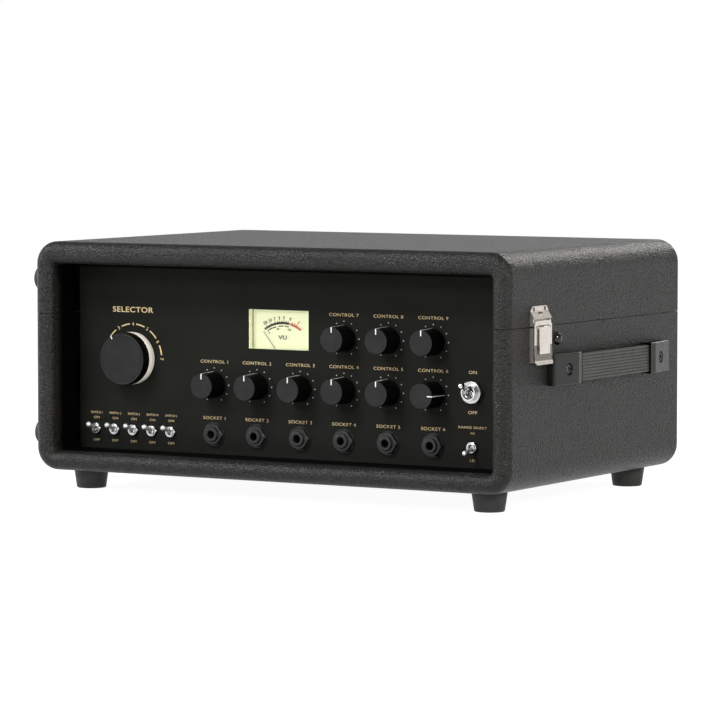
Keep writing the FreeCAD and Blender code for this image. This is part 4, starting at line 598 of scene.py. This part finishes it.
def lettering(shape, text, centre, facing, height, low, high, angle=0.0, weight=0.0, widen=1.0):
    """Raised print: text of a given height, centred, turned clockwise by angle, made bolder by
    weight and wider by widen, with a quarter of the widening between the letters."""
    right, up, out = facing
    curve = bpy.data.curves.new("lettering", "FONT")
    curve.body = text
    curve.extrude = 0.5
    curve.offset = weight
    curve.space_character = 1.0 + 0.25 * (widen - 1.0)
    curve.resolution_u = 4
    holder = bpy.data.objects.new("lettering", curve)
    mesh = holder.to_mesh()
    xs = [v.co.x for v in mesh.vertices]
    ys = [v.co.y for v in mesh.vertices]
    scale = height / (max(ys) - min(ys))
    mid_x, mid_y = (max(xs) + min(xs)) / 2, (max(ys) + min(ys)) / 2
    turn = math.radians(angle)
    points = []
    for v in mesh.vertices:
        a = (v.co.x - mid_x) * scale * widen
        b = (v.co.y - mid_y) * scale
        a, b = a * math.cos(turn) + b * math.sin(turn), b * math.cos(turn) - a * math.sin(turn)
        lift = high if v.co.z > 0 else low
        points.append(centre + (right * a + up * b + out * lift) * MM)
    shape.add(points, [list(p.vertices) for p in mesh.polygons])
    holder.to_mesh_clear()
    bpy.data.objects.remove(holder)
    bpy.data.curves.remove(curve)


# ---------------------------------------------------------------- print on the panel
PRINT_LAYER = (-0.03, 0.06)       # back and face of the ink, from the panel's front
DOT_RING_R, DOT_R = 12.96, 0.44
LABEL_H, SMALL_H = 2.3, 1.75
KNOB_LABEL_UP = 17.75             # over the knob's axis
LOW_LABEL_Z = 42.6                # the row over the sockets and small switches
SWITCH_ON_Z, SWITCH_OFF_Z = 38.7, 21.4
RANGE_Z, RANGE_HI_Z, RANGE_LO_Z = 45.0, 40.7, 20.6
POWER_ON_Z, POWER_OFF_Z = 85.7, 56.1


def panel_at(x, z):
    return at(x, PANEL_Y, z)


def panel_text(shape, text, x, z, height, weight=-0.008, widen=1.3):
    lettering(shape, text, panel_at(x, z), TO_FRONT, height, *PRINT_LAYER, weight=weight, widen=widen)


def knob_print():
    """Eleven dots round each knob and a numbered label over it."""
    dots, labels = Shape(), Shape()
    for number, name in enumerate(LOWER_KNOBS + UPPER_KNOBS, 1):
        place = joint_place(name + "_turn")
        for angle in range(-150, 151, 30):
            spot = panel_at(place.x, place.z) + clockwise(TO_FRONT, angle) * DOT_RING_R * MM
            slab(dots, spot, TO_FRONT, circle(DOT_R, 12), *PRINT_LAYER)
        panel_text(labels, "CONTROL %d" % number, place.x, place.z + KNOB_LABEL_UP, LABEL_H)
    dots.piece("knob_dots", "grey_dot", "case", "panel_black", smooth=False)
    labels.piece("knob_labels", "gold", "case", "panel_black", smooth=False)


def selector_print():
    """Numbers over the top half round the selector knob, with arcs between them, and its title."""
    place = joint_place("mode_selector_turn")
    centre = panel_at(place.x, place.z)
    first, step, count, radius = -90, 30, 7, 26.3
    digit_h, title_h, title_z = 2.8, 4.2, 123.3
    arc_width, gap = 0.95, 6.5
    shape = Shape()
    for k in range(count):
        angle = first + step * k
        spot = centre + clockwise(TO_FRONT, angle) * radius * MM
        lettering(shape, str(k + 1), spot, TO_FRONT, digit_h, *PRINT_LAYER, angle=angle)
        if k < count - 1:
            arc_band(shape, centre, TO_FRONT, radius, arc_width, angle + gap, angle + step - gap,
                     *PRINT_LAYER)
    panel_text(shape, "SELECTOR", place.x, title_z, title_h, weight=0.012)
    shape.piece("selector_print", "gold", "case", "panel_black", smooth=False)


def jack_print():
    shape = Shape()
    for number, name in enumerate(LOWER_KNOBS, 1):
        x = joint_place(name + "_turn").x
        panel_text(shape, "SOCKET %d" % number, x, LOW_LABEL_Z, LABEL_H)
    shape.piece("socket_labels", "gold", "case", "panel_black", smooth=False)


def switch_print():
    shape = Shape()
    for number, name in enumerate(TOGGLES, 1):
        x = joint_place(name + "_flip").x
        if number < len(TOGGLES):
            panel_text(shape, "SWITCH %d" % number, x, LOW_LABEL_Z, SMALL_H, widen=0.95)
            panel_text(shape, "ON", x, SWITCH_ON_Z, SMALL_H)
            panel_text(shape, "OFF", x, SWITCH_OFF_Z, SMALL_H)
        else:
            panel_text(shape, "RANGE SELECT", x, RANGE_Z, SMALL_H)
            panel_text(shape, "HI", x, RANGE_HI_Z, SMALL_H)
            panel_text(shape, "LO", x, RANGE_LO_Z, SMALL_H)
    power = joint_place("power_switch_flip")
    panel_text(shape, "ON", power.x, POWER_ON_Z, LABEL_H)
    panel_text(shape, "OFF", power.x, POWER_OFF_Z, LABEL_H)
    shape.piece("switch_labels", "gold", "case", "panel_black", smooth=False)


# ---------------------------------------------------------------- knobs
POINTER_W = 0.75                  # the white strokes on the knobs' faces
STROKE_FACE = 0.03                # how far strokes and lines stand out


def side_line(shape, centre, angle, length):
    """White line along a knob's tapered side, from its face towards the panel."""
    face_r, base_r = 9.6, 10.2
    half_w, sunk, proud = 0.3, -0.2, 0.05
    start, end = 0.35, length - 0.3
    out, across = clockwise(TO_FRONT, angle), clockwise(TO_FRONT, angle + 90)
    points = [centre + (out * (r + lift) + across * side + Y * along) * MM
              for along, r in ((start, face_r), (end, base_r))
              for side in (-half_w, half_w)
              for lift in (sunk, proud)]
    shape.add(points, [[0, 1, 3, 2], [4, 6, 7, 5], [0, 2, 6, 4], [1, 5, 7, 3], [0, 4, 5, 1], [2, 3, 7, 6]])


def knob_marks():
    """White pointer let into each knob's face, and a thin line down its side."""
    pointer_start, pointer_end, pointer_depth = 5.3, 9.45, 0.28
    panel_gap = 0.8
    for name in LOWER_KNOBS + UPPER_KNOBS:
        place = joint_place(name + "_turn")
        front_y = node_box(name)[0].y
        angle = 90.0 if name == "knob_lower_6" else 0.0
        centre = at(place.x, front_y, place.z)
        shape = Shape()
        radial_bar(shape, centre, TO_FRONT, angle, pointer_start, pointer_end, POINTER_W,
                   -pointer_depth, STROKE_FACE)
        side_line(shape, centre, angle, PANEL_Y - panel_gap - front_y)
        shape.piece(name + "_mark", "white", name, "knob_black", smooth=False)


def selector_marks():
    """Pointer of the selector knob, two pale lines round its cream band and a black one on its rim."""
    place = joint_place("mode_selector_turn")
    centre = at(place.x, node_box("mode_knob")[0].y, place.z)
    ring_low, ring_high = node_box("mode_ring")
    rim_r = (ring_high.x - ring_low.x) / 2
    depth = 0.75                      # of the pointer and the black line in the face
    pointer_angle, pointer_start, pointer_end = -30.0, 17.4, rim_r - 0.35
    tick = Shape()
    radial_bar(tick, centre, TO_FRONT, pointer_angle, pointer_start, pointer_end, POINTER_W,
               -depth, STROKE_FACE)
    tick.piece("selector_tick", "cream", "mode_selector", "cream", smooth=False)
    lines, half_w, sunk = Shape(), 0.09, 0.1
    for back in (2.1, 5.0):
        line_centre = at(place.x, ring_low.y + back, place.z)
        hoop(lines, line_centre, TO_FRONT, rim_r - sunk, rim_r + STROKE_FACE, -half_w, half_w)
    lines.piece("selector_lines", "cream_line", "mode_selector", "knob_black")
    face_line, line_r, half_w = Shape(), rim_r - 1.75, 0.2
    hoop(face_line, centre, TO_FRONT, line_r - half_w, line_r + half_w, -depth, 0.02)
    face_line.piece("selector_face_line", "gloss_black", "mode_selector", "knob_black")


# ---------------------------------------------------------------- meter
METER_LAYER = (-0.02, 0.04)       # back and face of the print, from the dial's front
SCALE_R, INNER_SCALE_R, TICK_END_R = 27.5, 25.2, 29.5
SCALE_W, RED_SCALE_W, INNER_SCALE_W, TICK_W = 1.75, 1.8, 0.9, 0.6
DIGIT_R, DIGIT_H = 31.4, 2.6
SMALL_DIGIT_R, SMALL_DIGIT_H = 23.3, 1.7
LEGEND_LEFT, LEGEND_Z, LEGEND_H = 0.4, 105.6, 3.2


def meter_print():
    """Scale of the meter: black and red arcs, ticks and numbers, and a plain legend."""
    pivot = joint_place("meter_needle_swing")
    dial_y = node_box("meter_dial")[0].y
    centre = at(pivot.x, dial_y, pivot.z)
    black, faint, red = Shape(), Shape(), Shape()
    arc_band(black, centre, TO_FRONT, SCALE_R, SCALE_W, -36.0, 12.2, *METER_LAYER)
    arc_band(red, centre, TO_FRONT, SCALE_R, RED_SCALE_W, 13.4, 35.2, *METER_LAYER)
    for start, end in ((-33.0, -14.0), (-9.0, 1.0), (4.0, 12.0)):
        arc_band(black, centre, TO_FRONT, INNER_SCALE_R, INNER_SCALE_W, start, end, *METER_LAYER)
    black_ticks = (-30.0, -21.9, -14.4, -9.6, -6.4, -2.2, 1.6, 5.1, 8.9)
    for shape, angles in ((black, black_ticks), (red, (17.2, 21.1, 25.2))):
        for angle in angles:
            radial_bar(shape, centre, TO_FRONT, angle, SCALE_R, TICK_END_R, TICK_W, *METER_LAYER)
    large = [(black, "20", -29.9), (black, "10", -21.1), (black, "7", -13.2), (black, "5", -6.0),
             (black, "3", 1.5), (faint, "0", 12.1), (red, "3", 26.1)]
    small = [(faint, "0", -31.7), (faint, "50", -10.9), (faint, "100", 14.0)]
    for digits, radius, height in ((large, DIGIT_R, DIGIT_H), (small, SMALL_DIGIT_R, SMALL_DIGIT_H)):
        for shape, text, angle in digits:
            spot = centre + clockwise(TO_FRONT, angle) * radius * MM
            lettering(shape, text, spot, TO_FRONT, height, *METER_LAYER, angle=angle, weight=0.045)
    lettering(black, "VU", at(pivot.x - LEGEND_LEFT, dial_y, LEGEND_Z), TO_FRONT, LEGEND_H,
              *METER_LAYER, weight=0.03, widen=1.3)
    black.piece("meter_scale", "dial_black", "case", "dial_cream", smooth=False)
    faint.piece("meter_small_numbers", "dial_grey", "case", "dial_cream", smooth=False)
    red.piece("meter_red_scale", "dial_red", "case", "dial_cream", smooth=False)


def meter_painted_glow_liner():
    """Thin frame in the dial's glowing print that lines the meter's window between the lens and the dial:
    painted light on the window's walls.
    """
    low, high = node_box("meter_lens")
    behind_dial, behind_panel = 1.4, 2.1      # where its two ends lie
    wall, play = 0.09, 0.05
    half_w, half_h = (high.x - low.x) / 2 + play, (high.z - low.z) / 2 + play
    middle = panel_at((low.x + high.x) / 2, (low.z + high.z) / 2)
    outer = [(-half_w, -half_h), (half_w, -half_h), (half_w, half_h), (-half_w, half_h)]
    inner = [(a - math.copysign(wall, a), b - math.copysign(wall, b)) for a, b in outer]
    dial_depth = node_box("meter_dial")[0].y - PANEL_Y
    shape = Shape()
    slab(shape, middle, TO_FRONT, outer, behind_dial - dial_depth, -behind_panel, hole=inner)
    # the liner glows like the dial: painted light on the window's walls
    shape.piece("meter_painted_glow_liner", "dial", "case", "dial_cream", smooth=False)


# ---------------------------------------------------------------- fasteners and threads
def thread(shape, centre, radius, low, high, pitch, depth):
    """Rows of thread crests round a bush that looks forward, as a thin sleeve."""
    wall = 0.3
    profile = [(radius - wall, low), (radius, low)]
    turns = max(2, int((high - low) / pitch))
    step = (high - low) / turns
    for i in range(turns):
        profile.append((radius + depth, low + step * (i + 0.5)))
        profile.append((radius, low + step * (i + 1)))
    profile.append((radius - wall, high))
    lathe(shape, centre, TO_FRONT, profile, steps=40)


def bush_threads():
    """Threads on the bushes in front of their nuts."""
    metal, black = Shape(), Shape()
    jack_z = 30.3
    for name in TOGGLES:
        place = joint_place(name + "_flip")
        thread(metal, panel_at(place.x, place.z), radius=2.93, low=2.55, high=3.5, pitch=0.45, depth=0.07)
    power = joint_place("power_switch_flip")
    thread(metal, panel_at(power.x, power.z), radius=5.88, low=3.7, high=7.3, pitch=0.8, depth=0.14)
    for name in LOWER_KNOBS:
        x = joint_place(name + "_turn").x
        thread(black, panel_at(x, jack_z), radius=5.38, low=3.9, high=5.2, pitch=0.6, depth=0.14)
    metal.piece("switch_threads", "chrome", "case", "chrome")
    black.piece("jack_threads", "jack", "case", "black_plastic")


def screw_group(name, spots, facing, radius, height, material, body, slot):
    """One piece of like screws; radius and height are those of their heads."""
    shape = Shape()
    for spot in spots:
        screw(shape, at(*spot), facing, radius, height)
    shape.piece(name, material, body, slot)


def latch_screws():
    """Two screws through each latch's plate on the lid."""
    middle_y, from_middle, z = 46.7, 8.5, 133.9
    face = CASE_HALF_W + 0.15
    for name, side, facing in (("latch_screws_right", 1, TO_RIGHT), ("latch_screws_left", -1, TO_LEFT)):
        spots = [(side * face, middle_y + s * from_middle, z) for s in (-1, 1)]
        screw_group(name, spots, facing, 1.6, 0.55, "dark_metal", "lid", "nickel")


def hinge_screws():
    """Three screws through each hinge leaf, above and below the pin."""
    low, high = node_box("hinge_base_leaves")
    half_length, apart, from_pin = 21.0, 14, 15.0
    y, pin_z = CASE_BACK + 1.5, SEAM_Z + 0.2
    for up, body, name in ((-1, "case", "hinge_screws_base"), (1, "lid", "hinge_screws_lid")):
        spots = [(x + dx, y, pin_z + up * from_pin)
                 for x in (low.x + half_length, high.x - half_length) for dx in (-apart, 0, apart)]
        screw_group(name, spots, TO_BACK, 2.6, 0.9, "nickel", body, "nickel")


def rear_screws():
    low, high = node_box("rear_panel")
    inset = 6
    spots = [(x, high.y, z) for x in (low.x + inset, (low.x + high.x) / 2, high.x - inset)
             for z in (low.z + inset, high.z - inset)]
    screw_group("rear_panel_screws", spots, TO_BACK, 3.0, 1.4, "dark_metal", "case", "black_steel")


def foot_screws():
    """Screws inside the recesses of the rubber feet."""
    x, front_y, back_y, recess = 175.6, 31.4, 255.0, 8.8
    z = node_box("rubber_feet")[0].z + recess
    spots = [(side * x, y, z) for side in (-1, 1) for y in (front_y, back_y)]
    screw_group("foot_screws", spots, TO_FLOOR, 3.4, 1.6, "steel", "case", "rubber")


def deck_screws():
    """Row of five screws along the front edge of the deck plate."""
    low, high = node_box("deck_plate")
    count, side_inset, front_inset = 5, 8, 5.5
    pitch = (high.x - low.x - 2 * side_inset) / (count - 1)
    spots = [(low.x + side_inset + pitch * i, low.y + front_inset, high.z) for i in range(count)]
    screw_group("deck_screws", spots, TO_TOP, 2.6, 1.3, "steel", "case", "deck_alu")


# ---------------------------------------------------------------- handle
def handle_strap():
    """Ribbed strap of soft plastic that takes the place of the plain one."""
    low, high = node_box("handle_strap")
    ribs, rib_h, edge, stations = 9, 0.6, 0.6, 48
    valley = high.x - rib_h
    pitch = (high.z - low.z) / ribs
    outer = []
    for k in range(ribs):
        z = low.z + pitch * k
        outer.append((valley, z + pitch * 0.02))
        for part in (0.14, 0.3, 0.5, 0.7, 0.86):
            outer.append((valley + rib_h * math.sin(math.pi * part) ** 0.4, z + pitch * part))
        outer.append((valley, z + pitch * 0.98))
    inner = [(low.x, high.z - edge), (low.x, low.z + edge)]
    profile = [(low.x + edge, low.z)] + outer + [(low.x + edge, high.z)] + inner
    points = []
    for i in range(stations + 1):
        y = low.y + (high.y - low.y) * i / stations
        points += [at(x, y, z) for x, z in profile]
    shape = Shape()
    shape.add(points, loft_faces(stations + 1, len(profile)))
    strap = shape.piece("strap", "strap", "case", "handle_grey")
    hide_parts("handle_strap")


# ---------------------------------------------------------------- the dressed part
dress_nodes()
knob_print()
selector_print()
jack_print()
switch_print()
knob_marks()
selector_marks()
meter_print()
meter_painted_glow_liner()
bush_threads()
latch_screws()
hinge_screws()
rear_screws()
foot_screws()
deck_screws()
handle_strap()


# ---------------------------------------------------------------- floor, light and camera
WHITE = (1, 1, 1, 1)
LAMP_DISTANCE = 2.7
LAMP_AIM = Vector((0, 0, 0.1))
COOL, WARM, WARMISH = (0.96, 0.98, 1.0), (1.0, 0.95, 0.88), (1.0, 0.98, 0.95)


def background_rays(tree):
    """1 for rays of the camera and for those mirrored or let through by a surface."""
    rays = add_node(tree, "ShaderNodeLightPath")
    seen = math_node(tree, "MAXIMUM", rays.outputs["Is Camera Ray"], rays.outputs["Is Glossy Ray"])
    return math_node(tree, "MAXIMUM", seen, rays.outputs["Is Transmission Ray"])


def floor():
    """Pale floor, which the camera and reflections see as white with the object's soft shadow."""
    size = 120.0
    mesh = bpy.data.meshes.new("floor")
    corners = [(-size, -size, 0), (size, -size, 0), (size, size, 0), (-size, size, 0)]
    mesh.from_pydata(corners, [], [(0, 1, 2, 3)])
    obj = bpy.data.objects.new("floor", mesh)
    bpy.context.scene.collection.objects.link(obj)
    material = bpy.data.materials.new("pale_floor")
    material.use_nodes = True
    tree = material.node_tree
    tree.nodes.clear()
    lit = add_node(tree, "ShaderNodeBsdfDiffuse", {"Color": (*grey(0.86), 1)})
    shadowed = add_node(tree, "ShaderNodeBsdfDiffuse", {"Color": (*grey(0.20), 1)})
    glow = add_node(tree, "ShaderNodeEmission", {"Color": WHITE, "Strength": 0.952})
    seen = add_node(tree, "ShaderNodeAddShader")
    tree.links.new(shadowed.outputs[0], seen.inputs[0])
    tree.links.new(glow.outputs[0], seen.inputs[1])
    mix = add_node(tree, "ShaderNodeMixShader", {"Fac": background_rays(tree)})
    tree.links.new(lit.outputs[0], mix.inputs[1])
    tree.links.new(seen.outputs[0], mix.inputs[2])
    output = add_node(tree, "ShaderNodeOutputMaterial")
    tree.links.new(mix.outputs[0], output.inputs["Surface"])
    mesh.materials.append(material)


def studio_glow(tree):
    """What gloss sees round the object: white near the horizon, dim above and behind the camera."""
    way = add_node(tree, "ShaderNodeTexCoord").outputs["Generated"]
    towards_camera = (0.62, -0.78, 0.0)
    dim, high_start, high_end, camera_side = 0.22, 0.16, 0.36, 0.45
    low = spread(tree, absolute(tree, component(tree, way, "Z")), 1.0, 0.0, high_start, high_end)
    front = add_node(tree, "ShaderNodeVectorMath", {0: way, 1: towards_camera}, operation="DOT_PRODUCT")
    away = spread(tree, front.outputs["Value"], 1.0, 0.0, 0.0, camera_side)
    return spread(tree, math_node(tree, "MULTIPLY", low, away), dim, 1.0, 0.0, 1.0)


def set_world():
    """White to the camera, the studio's glow to gloss and a plain dim light to everything else."""
    ambient = 0.26
    world = bpy.data.worlds.new("studio")
    bpy.context.scene.world = world
    world.use_nodes = True
    tree = world.node_tree
    tree.nodes.clear()
    rays = add_node(tree, "ShaderNodeLightPath")
    seen = math_node(tree, "MAXIMUM", rays.outputs["Is Camera Ray"], rays.outputs["Is Transmission Ray"])
    level = math_node(tree, "MULTIPLY", studio_glow(tree), rays.outputs["Is Glossy Ray"])
    level = math_node(tree, "MAXIMUM", level, seen)
    level = math_node(tree, "MAXIMUM", level, ambient)
    sky = add_node(tree, "ShaderNodeBackground", {"Color": WHITE, "Strength": level})
    output = add_node(tree, "ShaderNodeOutputWorld")
    tree.links.new(sky.outputs[0], output.inputs["Surface"])


def area_lamp(name, azimuth, elevation, size, watts, colour):
    """Soft lamp round the object; azimuth 0 is its right side and -90 its front."""
    data = bpy.data.lights.new(name, "AREA")
    data.shape = "RECTANGLE"
    data.size, data.size_y = size
    data.energy = watts
    data.color = colour
    turn, lift = math.radians(azimuth), math.radians(elevation)
    away = Vector((math.cos(turn) * math.cos(lift), math.sin(turn) * math.cos(lift), math.sin(lift)))
    lamp = bpy.data.objects.new(name, data)
    lamp.location = LAMP_AIM + away * LAMP_DISTANCE
    lamp.rotation_euler = (-away).to_track_quat("-Z", "Y").to_euler()
    bpy.context.scene.collection.objects.link(lamp)


def lamps():
    area_lamp("key", -108, 42, (0.8, 0.5), 42.0, COOL)
    area_lamp("left", -160, 24, (0.5, 0.5), 28.0, COOL)
    area_lamp("front", -100, 21, (0.9, 0.4), 20.0, grey(1.0))
    area_lamp("right", -20, 22, (0.7, 0.7), 44.0, WARM)
    area_lamp("top", -84, 66, (0.7, 0.7), 3.0, grey(1.0))
    area_lamp("rim", 89, 26, (0.7, 0.5), 16.0, WARMISH)


def camera():
    """The photograph's view: a long lens, 30 degrees to the right and a little above."""
    downwards, roll, azimuth = 3.969, -0.014, 30.411
    data = bpy.data.cameras.new("camera")
    data.sensor_width = 36.0
    data.lens = 207.17
    obj = bpy.data.objects.new("camera", data)
    obj.location = (1.62330, -2.76418, 0.32060)
    obj.rotation_euler = [math.radians(angle) for angle in (90 - downwards, roll, azimuth)]
    bpy.context.scene.collection.objects.link(obj)
    bpy.context.scene.camera = obj


floor()
set_world()
lamps()
camera()
bpy.context.scene.view_settings.view_transform = "Standard"
